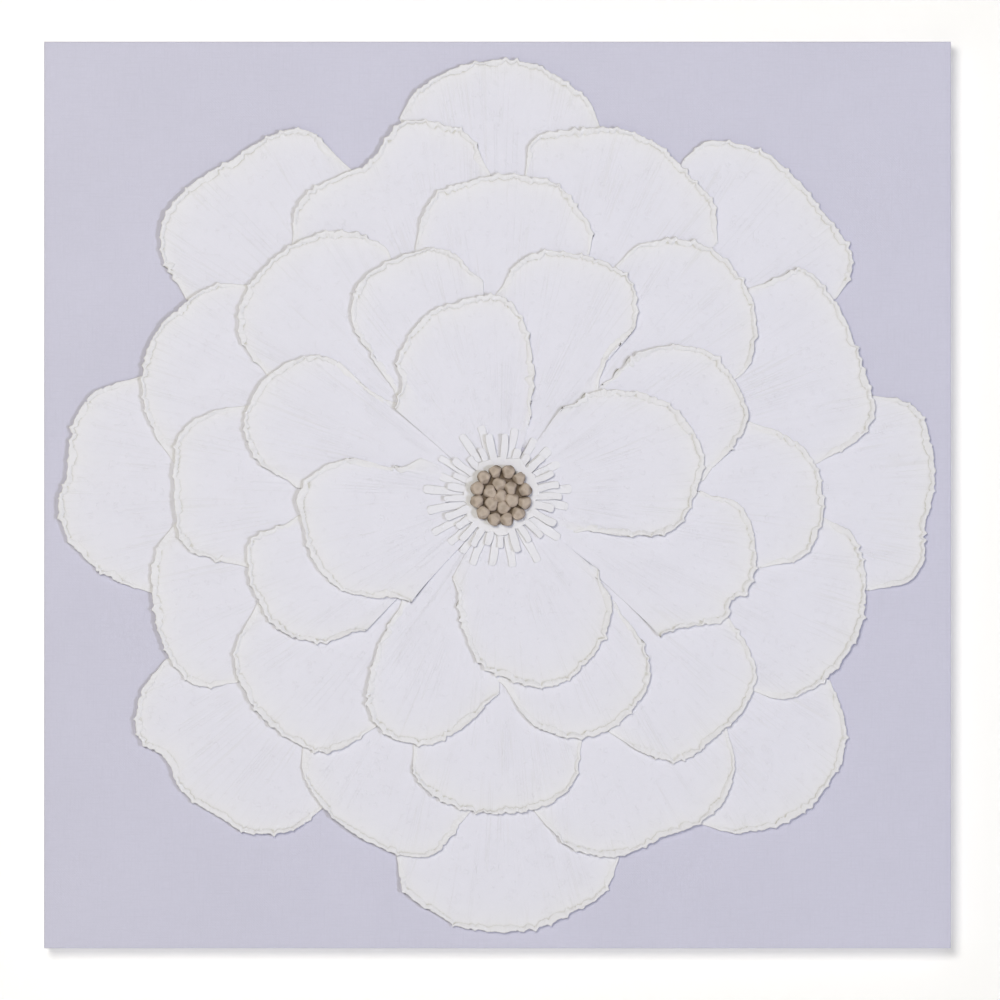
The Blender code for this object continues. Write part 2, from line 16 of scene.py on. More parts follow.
import bpy
import numpy as np
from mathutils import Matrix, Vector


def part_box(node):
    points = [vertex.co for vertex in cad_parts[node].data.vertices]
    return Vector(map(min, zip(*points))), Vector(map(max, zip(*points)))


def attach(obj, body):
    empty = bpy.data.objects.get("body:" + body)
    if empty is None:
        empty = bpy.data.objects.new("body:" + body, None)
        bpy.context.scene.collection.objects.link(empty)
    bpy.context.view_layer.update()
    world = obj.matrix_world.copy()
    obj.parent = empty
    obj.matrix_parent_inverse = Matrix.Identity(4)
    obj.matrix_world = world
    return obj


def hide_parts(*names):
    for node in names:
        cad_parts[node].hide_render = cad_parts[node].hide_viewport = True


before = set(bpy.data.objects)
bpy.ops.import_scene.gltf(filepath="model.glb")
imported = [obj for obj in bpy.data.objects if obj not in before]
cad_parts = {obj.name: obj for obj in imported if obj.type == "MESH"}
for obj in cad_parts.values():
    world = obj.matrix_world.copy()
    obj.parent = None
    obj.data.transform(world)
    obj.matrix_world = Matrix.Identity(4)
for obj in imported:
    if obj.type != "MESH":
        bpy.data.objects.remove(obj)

LOG = logging.getLogger("paper_flower")
MM = 0.001
ROOT = "root"
PETAL_SEED = 100
FRINGE_SEED = 40

# For each ring of petals, the share of a petal's face after which its grid gets coarse, as it is covered
COVERED = {"outer": 0.60, "second": 0.62, "third": 0.65, "fourth": 0.82, "heart": 0.88}

# How far the flanks run over their neighbours in the rings where it isn't the usual lap
LAPS = {"heart": 5.6 * MM, "fourth": 4.4 * MM}

# How steeply the collar of each fringe rises outwards
FRINGE_SLOPES = {"fringe_long": 0.026, "fringe_short": 0.138}


class Slot(Enum):
    """The record's material slots."""

    CANVAS = "canvas"
    PETAL = "petal_paper"
    FRINGE = "fringe_paper"
    CLAY = "paper_clay"
    PINE = "pine"
    STEEL = "steel"


class Run(Enum):
    """The way that a bar's wood grain runs."""

    ACROSS = "across"
    UPRIGHT = "upright"


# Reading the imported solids


@dataclass(frozen=True)
class Solid:
    """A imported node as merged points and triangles."""

    points: np.ndarray
    triangles: np.ndarray

    @staticmethod
    def read(name: str) -> "Solid":
        """Read a node's mesh and merge the points that share a place.

        Args:
            name: the node.

        Returns:
            Its points and triangles.
        """
        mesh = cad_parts[name].data
        mesh.calc_loop_triangles()
        places = np.empty(3 * len(mesh.vertices))
        mesh.vertices.foreach_get("co", places)
        corners = np.empty(3 * len(mesh.loop_triangles), dtype=np.int32)
        mesh.loop_triangles.foreach_get("vertices", corners)
        keys = np.round(places.reshape(-1, 3) / (0.001 * MM)).astype(np.int64)
        _, first, merged = np.unique(keys, axis=0, return_index=True, return_inverse=True)
        return Solid(places.reshape(-1, 3)[first], merged.reshape(-1)[corners].reshape(-1, 3))

    def lean(self) -> np.ndarray:
        """Read how each triangle leans.

        Returns:
            The share of each triangle's normal that points into the wall.
        """
        a, b, c = (self.points[self.triangles[:, k]] for k in range(3))
        normal = np.cross(b - a, c - a)
        return normal[:, 1] / np.maximum(np.linalg.norm(normal, axis=1), 1e-15)

    def face(self) -> np.ndarray:
        """The triangles that the viewer sees."""
        return self.triangles[self.lean() < -0.1]

    def back(self, upright: float = 0.01) -> np.ndarray:
        """The triangles of the sheet's back: those that its upright walls cut off from the face.

        Two triangles are neighbours where they share an edge and neither stands upright. From the one
        that faces the wall most squarely, the patch grows by its neighbours until it grows no more.

        Args:
            upright: the lean below which a triangle counts as upright.

        Returns:
            The triangles of the patch.
        """
        lean = self.lean()
        edges = np.sort(np.stack([self.triangles[:, [k, (k + 1) % 3]] for k in range(3)], axis=1), axis=2)
        keys = edges[..., 0].astype(np.int64) * len(self.points) + edges[..., 1]
        shared = (keys[:, None, :, None] == keys[None, :, None, :]).any(axis=(2, 3))
        sloping = np.abs(lean) > upright
        shared &= sloping[:, None] & sloping[None, :]
        patch = np.zeros(len(lean), dtype=bool)
        patch[lean.argmax()] = True
        grown = shared[patch].any(axis=0)
        while (grown & ~patch).any():
            patch |= grown
            grown = shared[patch].any(axis=0)
        return self.triangles[patch]

    @staticmethod
    def border(triangles: np.ndarray) -> np.ndarray:
        """The points round the edge of a patch of triangles, in the order of its outline.

        Args:
            triangles: a patch with one outline.

        Returns:
            Indices of the points, once round.
        """
        edges = np.concatenate([triangles[:, [k, (k + 1) % 3]] for k in range(3)]).astype(np.int64)
        span = edges.max() + 1
        forward, backward = edges[:, 0] * span + edges[:, 1], edges[:, 1] * span + edges[:, 0]
        outline = edges[~np.isin(forward, backward)]
        following = dict(outline.tolist())
        path = [int(outline[0, 0])]
        while following[path[-1]] != path[0]:
            path.append(following[path[-1]])
        return np.array(path)


def height_on(points: np.ndarray, triangles: np.ndarray, x: np.ndarray, z: np.ndarray) -> np.ndarray:
    """The height of a patch of triangles above any (x, z).

    Each place is written in the barycentric weights of every triangle, the triangle whose smallest weight
    is largest holds it, and the heights of its corners are blended by those weights.

    Args:
        points: the patch's points.
        triangles: the patch's triangles.
        x: places to read, any shape.
        z: places to read, like x.

    Returns:
        Heights towards the viewer, measured from the canvas, shaped like x.
    """
    corners = points[triangles]
    ax, az = corners[:, 0, 0], corners[:, 0, 2]
    bx, bz = corners[:, 1, 0] - ax, corners[:, 1, 2] - az
    cx, cz = corners[:, 2, 0] - ax, corners[:, 2, 2] - az
    area = bx * cz - cx * bz
    area = np.where(np.abs(area) < 1e-12, 1e-12, area)
    px, pz = x.reshape(-1, 1) - ax, z.reshape(-1, 1) - az
    second = (px * cz - cx * pz) / area
    third = (bx * pz - px * bz) / area
    first = 1.0 - second - third
    best = np.minimum(np.minimum(first, second), third).argmax(axis=1)
    pick = np.arange(len(best))
    weights = np.stack((first[pick, best], second[pick, best], third[pick, best]), axis=1)
    depth = (corners[best][:, :, 1] * weights).sum(axis=1)
    return (canvas_front() - depth).reshape(x.shape)


def canvas_front() -> float:
    """The depth of the canvas's front face."""
    return float(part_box("canvas")[0][1])


def middle_of(name: str) -> np.ndarray:
    """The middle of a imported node's box."""
    low, high = (np.array(corner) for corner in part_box(name))
    return (low + high) / 2


# Number helpers


def ease(value: np.ndarray) -> np.ndarray:
    """An even step from 0 to 1, flat at both ends."""
    value = np.clip(value, 0.0, 1.0)
    return value * value * (3.0 - 2.0 * value)


def through(points: np.ndarray, stations: np.ndarray) -> np.ndarray:
    """Places on a uniform Catmull-Rom curve.

    Between two points the curve is the cubic whose end slopes are half the way between their neighbours.

    Args:
        points: the curve's own points, one a row.
        stations: places to read, where 1.5 is half way from the second point to the third.

    Returns:
        One row for each station.
    """
    padded = np.vstack((2 * points[0] - points[1], points, 2 * points[-1] - points[-2]))
    index = np.clip(np.floor(stations).astype(int), 0, len(points) - 2)
    t = (stations - index)[:, None]
    a, b, c, d = (padded[index + k] for k in range(4))
    cubic = (3 * b - a - 3 * c + d) * t ** 3
    return 0.5 * (2 * b + (c - a) * t + (2 * a - 5 * b + 4 * c - d) * t ** 2 + cubic)


def evened(rows: np.ndarray, reach: float) -> np.ndarray:
    """Smooth each row of a grid along its columns with a Gaussian window, mirrored at the ends.

    Args:
        rows: the grid.
        reach: the window's standard deviation, in columns.

    Returns:
        The smoothed grid.
    """
    half = int(3 * reach) + 1
    window = np.exp(-0.5 * (np.arange(-half, half + 1) / reach) ** 2)
    window /= window.sum()
    padded = np.pad(rows, ((0, 0), (half, half)), mode="reflect", reflect_type="odd")
    return np.stack([np.convolve(line, window, mode="valid") for line in padded])


def waves(rng: np.random.Generator, x: np.ndarray, z: np.ndarray, shortest: float, longest: float,
          count: int = 9) -> np.ndarray:
    """A rolling surface: plane sine waves of random heading, length and phase, added up.

    Args:
        rng: the source of the random draws.
        x: first coordinate, any shape.
        z: second coordinate, like x.
        shortest: the shortest wave, in the same units.
        longest: the longest wave.
        count: how many waves.

    Returns:
        Heights of about -1 to 1.
    """
    total = np.zeros(np.shape(x))
    for _ in range(count):
        heading, phase = rng.uniform(0.0, 2.0 * math.pi, 2)
        length = rng.uniform(shortest, longest)
        along = (x * math.cos(heading) + z * math.sin(heading)) / length
        total = total + np.sin(2.0 * math.pi * along + phase)
    return total / math.sqrt(2.0 * count)


# Putting surfaces into meshes


def grid_faces(rows: int, columns: int, ring: bool = False) -> np.ndarray:
    """The quads of a grid whose points are stored row after row.

    A face's normal is the way along the rows crossed with the way along the columns.

    Args:
        rows: how many rows.
        columns: how many columns.
        ring: True joins the last column to the first.

    Returns:
        Four indices for each quad.
    """
    row, column = np.meshgrid(np.arange(rows - 1), np.arange(columns if ring else columns - 1), indexing="ij")
    beside = (column + 1) % columns
    quads = np.stack((row * columns + column, (row + 1) * columns + column,
                      (row + 1) * columns + beside, row * columns + beside), axis=-1)
    return quads.reshape(-1, 4)


def add_piece(name: str, points: np.ndarray, faces: list[list[int]], finish: bpy.types.Material,
              replaced: tuple[str, ...] = (), uv: np.ndarray | None = None,
              marks: dict[str, np.ndarray] | None = None) -> bpy.types.Object:
    """Make one visible piece, with its place in its mesh.

    Args:
        name: the piece.
        points: one place a row.
        faces: indices of each face's corners.
        finish: its material.
        replaced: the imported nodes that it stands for.
        uv: a pair for each point, in metres along the sheet.
        marks: float attributes, one number for each point.

    Returns:
        The new object.
    """
    mesh = bpy.data.meshes.new(name)
    mesh.from_pydata(points.tolist(), [], faces)
    mesh.shade_smooth()
    if uv is not None:
        owners = np.empty(len(mesh.loops), dtype=np.int32)
        mesh.loops.foreach_get("vertex_index", owners)
        layer = mesh.uv_layers.new(name="Sheet")
        layer.uv.foreach_set("vector", uv[owners].astype(np.float32).ravel())
    for mark, values in (marks or {}).items():
        mesh.attributes.new(mark, "FLOAT", "POINT").data.foreach_set("value", values.astype(np.float32))
    mesh.materials.append(finish)
    piece = bpy.data.objects.new(name, mesh)
    bpy.context.scene.collection.objects.link(piece)
    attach(piece, ROOT)
    if replaced:
        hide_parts(*replaced)
    LOG.info("%s: %d points, %d faces", name, len(points), len(faces))
    return piece


# Node trees


class Wiring:
    """Short calls for adding nodes to a tree and linking them."""

    def __init__(self, tree: bpy.types.NodeTree) -> None:
        """Keep the tree that the calls work on."""
        self.tree = tree

    def node(self, kind: str, **settings: object) -> bpy.types.Node:
        """Add a node and set its own properties.

        Args:
            kind: the node's type.
            settings: its properties, by name.

        Returns:
            The node.
        """
        made = self.tree.nodes.new(kind)
        for name, value in settings.items():
            setattr(made, name, value)
        return made

    def feed(self, socket: bpy.types.NodeSocket, value: object) -> None:
        """Link a socket to another one, or set its number or colour.

        Args:
            socket: the input.
            value: an output, a number or a colour.
        """
        if isinstance(value, bpy.types.NodeSocket):
            self.tree.links.new(value, socket)
        else:
            socket.default_value = value

    def math(self, operation: str, *values: object) -> bpy.types.NodeSocket:
        """Work out one sum.

        Args:
            operation: the Math node's operation.
            values: sockets or numbers, one for each of its inputs.

        Returns:
            The result.
        """
        made = self.node("ShaderNodeMath", operation=operation)
        for socket, value in zip(made.inputs, values):
            self.feed(socket, value)
        return made.outputs[0]

    def blend(self, factor: object, first: object, second: object) -> bpy.types.NodeSocket:
        """Find a colour between two colours.

        Args:
            factor: 0 gives the first colour and 1 the second.
            first: a colour or a socket.
            second: likewise.

        Returns:
            The colour.
        """
        made = self.node("ShaderNodeMix", data_type="RGBA")
        for index, value in ((0, factor), (6, first), (7, second)):
            self.feed(made.inputs[index], value)
        return made.outputs[2]

    def noise(self, vector: object, size: float, detail: float = 2.0,
              rough: float = 0.5) -> bpy.types.NodeSocket:
        """Noise from 0 to 1.

        Args:
            vector: the coordinates that it reads.
            size: about how large its features are, in metres.
            detail: how many finer layers it has.
            rough: how strong these are.

        Returns:
            The noise.
        """
        made = self.node("ShaderNodeTexNoise")
        self.feed(made.inputs["Vector"], vector)
        made.inputs["Scale"].default_value = 1.0 / size
        made.inputs["Detail"].default_value = detail
        made.inputs["Roughness"].default_value = rough
        return made.outputs["Fac"]

    def stretch(self, vector: object, scale: tuple[float, float, float],
                turn: tuple[float, float, float] = (0.0, 0.0, 0.0)) -> bpy.types.NodeSocket:
        """Squeeze a vector along each axis, then turn it.

        Args:
            vector: coordinates.
            scale: the factor along each axis.
            turn: the angle about each axis.

        Returns:
            The new coordinates.
        """
        made = self.node("ShaderNodeMapping")
        self.feed(made.inputs["Vector"], vector)
        made.inputs["Rotation"].default_value = turn
        made.inputs["Scale"].default_value = scale
        return made.outputs[0]

    def span(self, value: object, low: float, high: float, to_low: float = 0.0,
             to_high: float = 1.0) -> bpy.types.NodeSocket:
        """Carry a value from one span of numbers to another, and keep it within that one.

        Args:
            value: the socket to read.
            low: the start of its span.
            high: the end of its span.
            to_low: what low becomes.
            to_high: what high becomes.

        Returns:
            The carried value.
        """
        made = self.node("ShaderNodeMapRange")
        for index, number in enumerate((value, low, high, to_low, to_high)):
            self.feed(made.inputs[index], number)
        return made.outputs[0]

    def place(self) -> bpy.types.NodeSocket:
        """Object coordinates, in metres, which are the same for every piece."""
        return self.node("ShaderNodeTexCoord").outputs["Object"]

    def sheet(self) -> bpy.types.NodeSocket:
        """The piece's own sheet coordinates, in metres."""
        return self.node("ShaderNodeUVMap", uv_map="Sheet").outputs[0]

    def mark(self, name: str) -> bpy.types.NodeSocket:
        """A float attribute of the piece."""
        return self.node("ShaderNodeAttribute", attribute_name=name).outputs["Fac"]

    def effect(self, group: bpy.types.NodeTree, **inputs: object) -> bpy.types.Node:
        """Place a shared effect in the tree, with its own values.

        Args:
            group: the effect.
            inputs: sockets or values, by the names of its inputs.

        Returns:
            The effect's node.
        """
        made = self.node("ShaderNodeGroup", node_tree=group)
        for name, value in inputs.items():
            self.feed(made.inputs[name], value)
        return made


def new_effect(name: str, inputs: dict[str, tuple[str, object]],
               outputs: dict[str, str]) -> tuple[bpy.types.NodeTree, dict, dict]:
    """Start a shared effect.

    Args:
        name: the group.
        inputs: for each input its kind, and its usual value or None.
        outputs: the kind of each output.

    Returns:
        The tree, the sockets that bring the inputs, and the sockets that take the outputs.
    """
    tree = bpy.data.node_groups.new(name, "ShaderNodeTree")
    for label, (kind, usual) in inputs.items():
        socket = tree.interface.new_socket(label, in_out="INPUT", socket_type="NodeSocket" + kind)
        if usual is not None:
            socket.default_value = usual
    for label, kind in outputs.items():
        tree.interface.new_socket(label, in_out="OUTPUT", socket_type="NodeSocket" + kind)
    entry, leave = tree.nodes.new("NodeGroupInput"), tree.nodes.new("NodeGroupOutput")
    return tree, {s.name: s for s in entry.outputs if s.name}, {s.name: s for s in leave.inputs if s.name}


class Effects:
    """The effects that more than one finish uses."""

    def __init__(self) -> None:
        """Build each group once."""
        self.mottle = self.build_mottle()
        self.pulp = self.build_pulp()
        self.grain = self.build_grain()

    @staticmethod
    def build_mottle() -> bpy.types.NodeTree:
        """Uneven tone: a coarse and a fine noise that lighten and darken a colour.

        Returns:
            The effect, which takes a colour and gives it back mottled.
        """
        tree, given, wanted = new_effect(
            "Mottle",
            {"Vector": ("Vector", None), "Colour": ("Color", None), "Depth": ("Float", 0.05),
             "Coarse": ("Float", 20.0), "Fine": ("Float", 400.0)},
            {"Colour": "Color"},
        )
        wiring = Wiring(tree)
        tones = []
        for label in ("Coarse", "Fine"):
            speckle = wiring.node("ShaderNodeTexNoise")
            wiring.feed(speckle.inputs["Vector"], given["Vector"])
            wiring.feed(speckle.inputs["Scale"], given[label])
            tones.append(wiring.math("SUBTRACT", speckle.outputs["Fac"], 0.5))
        tone = wiring.math("MULTIPLY", wiring.math("ADD", *tones), given["Depth"])
        gain = wiring.math("ADD", tone, 1.0)
        product = wiring.node("ShaderNodeVectorMath", operation="SCALE")
        wiring.feed(product.inputs[0], given["Colour"])
        wiring.feed(product.inputs["Scale"], gain)
        wiring.feed(wanted["Colour"], product.outputs[0])
        return tree

    @staticmethod
    def build_pulp() -> bpy.types.NodeTree:
        """The skin of handmade pulp: soft dents, a fine tooth, and short curled fibres.

        A fibre is where a noise passes through its middle value, kept only in the patches that a second
        noise leaves over.

        Returns:
            The effect, which gives a height in millimetres and a mask of the fibres.
        """
        tree, given, wanted = new_effect(
            "Pulp",
            {"Vector": ("Vector", None), "Dents": ("Float", 0.10), "Tooth": ("Float", 0.04),
             "Fibres": ("Float", 0.10)},
            {"Height": "Float", "Fibres": "Float"},
        )
        wiring = Wiring(tree)
        dents = wiring.noise(given["Vector"], 6 * MM, 3.0)
        tooth = wiring.noise(given["Vector"], 1.2 * MM, 2.0)
        curl = wiring.noise(given["Vector"], 5 * MM, 1.0)
        line = wiring.math("ABSOLUTE", wiring.math("SUBTRACT", curl, 0.5))
        line = wiring.span(line, 0.0, 0.035, 1.0, 0.0)
        patch = wiring.noise(given["Vector"], 7 * MM, 0.0)
        patch = wiring.span(patch, 0.60, 0.68)
        fibres = wiring.math("MULTIPLY", line, patch)
        height = wiring.math("ADD", wiring.math("MULTIPLY", dents, given["Dents"]),
                             wiring.math("MULTIPLY", tooth, given["Tooth"]))
        height = wiring.math("ADD", height, wiring.math("MULTIPLY", fibres, given["Fibres"]))
        wiring.feed(wanted["Height"], height)
        wiring.feed(wanted["Fibres"], fibres)
        return tree

    @staticmethod
    def build_grain() -> bpy.types.NodeTree:
        """Wood grain along the vector's Z: year rings cut lengthwise, and fine pores.

        Returns:
            The effect, which gives the rings and the pores, each from 0 to 1.
        """
        tree, given, wanted = new_effect(
            "Grain", {"Vector": ("Vector", None)}, {"Rings": "Float", "Pores": "Float"},
        )
        wiring = Wiring(tree)
        slow = wiring.stretch(given["Vector"], (1.0, 1.0, 0.06))
        bend = wiring.noise(slow, 30 * MM, 2.0)
        rings = wiring.math("FRACT", wiring.math("MULTIPLY", bend, 9.0))
        rings = wiring.math("POWER", rings, 2.0)
        pores = wiring.noise(wiring.stretch(given["Vector"], (1.0, 1.0, 0.03)), 0.8 * MM, 3.0)
        wiring.feed(wanted["Rings"], rings)
        wiring.feed(wanted["Pores"], pores)
        return tree


def new_finish(name: str, rough: float, specular: float = 0.5,
               metallic: float = 0.0) -> tuple[bpy.types.Material, Wiring, bpy.types.Node]:
    """Start a material.

    Args:
        name: the finish.
        rough: roughness.
        specular: specular level.
        metallic: metallic value.

    Returns:
        The material, its wiring and its shader.
    """
    made = bpy.data.materials.new(name)
    made.use_nodes = True
    shader = made.node_tree.nodes["Principled BSDF"]
    shader.inputs["Roughness"].default_value = rough
    shader.inputs["Specular IOR Level"].default_value = specular
    shader.inputs["Metallic"].default_value = metallic
    return made, Wiring(made.node_tree), shader


def add_relief(wiring: Wiring, shader: bpy.types.Node, height: bpy.types.NodeSocket,
               strength: float = 1.0) -> None:
    """Feed a height to the shader's normal.

    Args:
        wiring: the material's wiring.
        shader: its shader.
        height: the relief, in millimetres.
        strength: how much of it is felt.
    """
    bump = wiring.node("ShaderNodeBump")
    bump.inputs["Distance"].default_value = MM
    bump.inputs["Strength"].default_value = strength
    wiring.feed(bump.inputs["Height"], height)
    wiring.feed(shader.inputs["Normal"], bump.outputs[0])


@dataclass(frozen=True)
class PaperFinish:
    """Handmade cotton paper, cool white on its face and warmer towards its rim, with painted shade beside its
    folded rim and in its creases.
    """

    name: str
    face: tuple[float, float, float, float]
    edge: tuple[float, float, float, float]
    painted_shade: tuple[float, float, float, float] = (0.60, 0.585, 0.52, 1.0)
    dents: float = 0.22
    tooth: float = 0.06
    fibres: float = 0.20
    fibre_tone: float = 0.10
    creases: float = 0.0
    crease_gap: float = 7.5 * MM
    crease_patch: float = 38 * MM
    crease_shade: float = 0.16
    mottle: float = 0.04
    rough: float = 0.92
    specular: float = 0.2

    def build(self, effects: Effects) -> bpy.types.Material:
        """The material.

        Args:
            effects: the shared effects.

        Returns:
            Paper with its relief, and fine creases that fan along the sheet if it has any, darkened by
            painted shade.
        """
        made, wiring, shader = new_finish(self.name, self.rough, self.specular)
        place = wiring.place()
        pulp = wiring.effect(effects.pulp, Vector=place, Dents=self.dents, Tooth=self.tooth,
                             Fibres=self.fibres)
        height = pulp.outputs["Height"]
        colour = wiring.blend(wiring.mark("edge"), self.face, self.edge)
        colour = wiring.blend(wiring.mark("painted_shade"), colour, self.painted_shade)
        if self.creases:
            fan = wiring.noise(wiring.stretch(wiring.sheet(), (1.0, 0.022, 1.0)), self.crease_gap, 1.0)
            line = wiring.math("ABSOLUTE", wiring.math("SUBTRACT", fan, 0.5))
            line = wiring.span(line, 0.0, 0.022, 1.0, 0.0)
            patch = wiring.noise(wiring.stretch(wiring.sheet(), (1.0, 0.5, 1.0)), self.crease_patch, 1.0)
            line = wiring.math("MULTIPLY", line, wiring.span(patch, 0.40, 0.62))
            line = wiring.math("MULTIPLY", line, wiring.mark("open"))
            height = wiring.math("SUBTRACT", height, wiring.math("MULTIPLY", line, self.creases))
            # Painted shade: the creases are darkened towards the shade colour.
            colour = wiring.blend(wiring.math("MULTIPLY", line, self.crease_shade), colour, self.painted_shade)
        toned = wiring.effect(effects.mottle, Vector=place, Colour=colour, Depth=self.mottle, Coarse=28.0,
                              Fine=650.0)
        threaded = wiring.blend(wiring.math("MULTIPLY", pulp.outputs["Fibres"], self.fibre_tone),
                                toned.outputs[0], self.edge)
        wiring.feed(shader.inputs["Base Color"], threaded)
        add_relief(wiring, shader, height)
        return made


@dataclass(frozen=True)
class ClayFinish:
    """Paper clay: taupe, chalky and pitted."""

    name: str = "paper clay"
    colour: tuple[float, float, float, float] = (0.52, 0.435, 0.35, 1.0)
    painted_clay_shade: tuple[float, float, float, float] = (0.20, 0.15, 0.105, 1.0)
    dents: float = 0.35
    tooth: float = 0.22
    fibres: float = 0.10
    mottle: float = 0.22
    rough: float = 0.95
    specular: float = 0.15

    def build(self, effects: Effects) -> bpy.types.Material:
        """The material.

        Args:
            effects: the shared effects.

        Returns:
            Clay, darker where the mark says that a dent is deep.
        """
        made, wiring, shader = new_finish(self.name, self.rough, self.specular)
        place = wiring.place()
        pulp = wiring.effect(effects.pulp, Vector=place, Dents=self.dents, Tooth=self.tooth,
                             Fibres=self.fibres)
        colour = wiring.blend(wiring.mark("painted_clay_shade"), self.colour, self.painted_clay_shade)
        toned = wiring.effect(effects.mottle, Vector=place, Colour=colour, Depth=self.mottle, Coarse=160.0,
                              Fine=1400.0)
        wiring.feed(shader.inputs["Base Color"], toned.outputs[0])
        add_relief(wiring, shader, pulp.outputs["Height"])
        return made


@dataclass(frozen=True)
class LinenFinish:
    """Plain-woven linen, dyed lavender grey."""

    name: str = "lavender linen"
    colour: tuple[float, float, float, float] = (0.645, 0.635, 0.726, 1.0)
    darker: float = 0.72
    pitch: float = 0.9 * MM
    relief: float = 0.11
    wander: float = 45 * MM
    drift: float = 0.8 * MM
    slub: float = 1.6 * MM
    slub_relief: float = 0.8
    slub_tone: float = 0.12
    mottle: float = 0.05
    rough: float = 0.95
    specular: float = 0.12

    def threads(self, wiring: Wiring, along: bpy.types.NodeSocket,
                across: bpy.types.NodeSocket) -> bpy.types.NodeSocket:
        """The height of one set of threads, which dive under every second thread of the other set.

        Args:
            wiring: the material's wiring.
            along: distance along the threads.
            across: distance across them.

        Returns:
            The set's height: a rounded back across each thread, times a wave along it that flips sign
            from thread to thread.
        """
        lane = wiring.math("DIVIDE", across, self.pitch)
        back = wiring.math("ABSOLUTE", wiring.math("SINE", wiring.math("MULTIPLY", lane, math.pi)))
        flip = wiring.math("MULTIPLY", wiring.math("FLOOR", lane), math.pi)
        phase = wiring.math("ADD", wiring.math("MULTIPLY", along, math.pi / self.pitch), flip)
        dive = wiring.math("ADD", wiring.math("MULTIPLY", wiring.math("SINE", phase), 0.5), 0.5)
        return wiring.math("MULTIPLY", back, dive)

    def build(self, effects: Effects) -> bpy.types.Material:
        """The material.

        Args:
            effects: the shared effects.

        Returns:
            A plain weave with slubs, and threads of slightly uneven tone.
        """
        made, wiring, shader = new_finish(self.name, self.rough, self.specular)
        sheet = wiring.sheet()
        wander = wiring.noise(sheet, self.wander, 2.0)
        parts = wiring.node("ShaderNodeSeparateXYZ")
        wiring.feed(parts.inputs[0], sheet)
        drift = wiring.math("MULTIPLY", wander, self.drift)
        u, v = (wiring.math("ADD", parts.outputs[k], drift) for k in range(2))
        weave = wiring.math("MAXIMUM", self.threads(wiring, u, v), self.threads(wiring, v, u))
        upright = wiring.noise(wiring.stretch(sheet, (1.0, 0.05, 1.0)), self.slub, 2.0)
        level = wiring.noise(wiring.stretch(sheet, (0.05, 1.0, 1.0)), self.slub, 2.0)
        slubs = wiring.math("MAXIMUM", upright, level)
        height = wiring.math("ADD", weave, wiring.math("MULTIPLY", slubs, self.slub_relief))
        height = wiring.math("MULTIPLY", height, self.relief)
        shade = wiring.blend(wiring.span(slubs, 0.45, 0.75, 0.0, self.slub_tone), self.colour,
                             tuple(self.darker * c for c in self.colour[:3]) + (1.0,))
        toned = wiring.effect(effects.mottle, Vector=wiring.place(), Colour=shade, Depth=self.mottle,
                              Coarse=9.0, Fine=300.0)
        wiring.feed(shader.inputs["Base Color"], toned.outputs[0])
        add_relief(wiring, shader, height)
        return made


@dataclass(frozen=True)
class PineFinish:
    """Planed pine, whose grain runs along the bar."""

    run: Run
    early: tuple[float, float, float, float] = (0.74, 0.55, 0.34, 1.0)
    late: tuple[float, float, float, float] = (0.52, 0.33, 0.17, 1.0)

    def build(self, effects: Effects) -> bpy.types.Material:
        """The material.

        Args:
            effects: the shared effects.

        Returns:
            Pine, whose late wood is darker, glossier and a little higher.
        """
        made, wiring, shader = new_finish(f"pine {self.run.value}", 0.58, 0.35)
        turn = (0.0, math.pi / 2, 0.0) if self.run is Run.ACROSS else (0.0, 0.0, 0.0)
        place = wiring.stretch(wiring.place(), (1.0, 1.0, 1.0), turn)
        grain = wiring.effect(effects.grain, Vector=place)
        rings, pores = grain.outputs["Rings"], grain.outputs["Pores"]
        colour = wiring.blend(wiring.math("MULTIPLY", rings, 0.75), self.early, self.late)
        colour = wiring.blend(wiring.span(pores, 0.5, 0.8, 0.0, 0.35), colour, self.late)
        toned = wiring.effect(effects.mottle, Vector=place, Colour=colour, Depth=0.10, Coarse=8.0, Fine=200.0)
        wiring.feed(shader.inputs["Base Color"], toned.outputs[0])
        wiring.feed(shader.inputs["Roughness"], wiring.span(rings, 0.0, 1.0, 0.62, 0.48))
        height = wiring.math("SUBTRACT", wiring.math("MULTIPLY", rings, 0.06),
                             wiring.math("MULTIPLY", pores, 0.08))
        add_relief(wiring, shader, height)
        return made


@dataclass(frozen=True)
class SteelFinish:
    """Zinc-plated steel with drawing marks along it."""

    name: str = "plated steel"
    colour: tuple[float, float, float, float] = (0.60, 0.60, 0.62, 1.0)

    def build(self, effects: Effects) -> bpy.types.Material:
        """The material.

        Args:
            effects: the shared effects.

        Returns:
            Steel, duller in some of its marks than in others.
        """
        made, wiring, shader = new_finish(self.name, 0.36, 0.5, 1.0)
        place = wiring.place()
        marks = wiring.noise(wiring.stretch(place, (0.06, 1.0, 1.0)), 0.25 * MM, 2.0)
        toned = wiring.effect(effects.mottle, Vector=place, Colour=self.colour, Depth=0.18, Coarse=220.0,
                              Fine=1500.0)
        wiring.feed(shader.inputs["Base Color"], toned.outputs[0])
        wiring.feed(shader.inputs["Roughness"], wiring.span(marks, 0.3, 0.7, 0.28, 0.46))
        add_relief(wiring, shader, wiring.math("MULTIPLY", marks, 0.02))
        return made


# Petals


@dataclass(frozen=True)
class Pleats:
    """The uneven pleats of one petal's folded rim, as numbers for each column of its grid.

    Cuts are the distances along the rim where one pleat ends and the next begins. Width is the fold's
    width, lift the height of its torn edge, ridge the height of its crease, jut how far the outline stands
    out, feather how much of the sheet's thickness the torn edge has lost, and shade_depth how deep the
    painted shade beside its torn edge is.
    """

    cuts: np.ndarray
    width: np.ndarray
    lift: np.ndarray
    ridge: np.ndarray
    jut: np.ndarray
    feather: np.ndarray
    shade_depth: np.ndarray


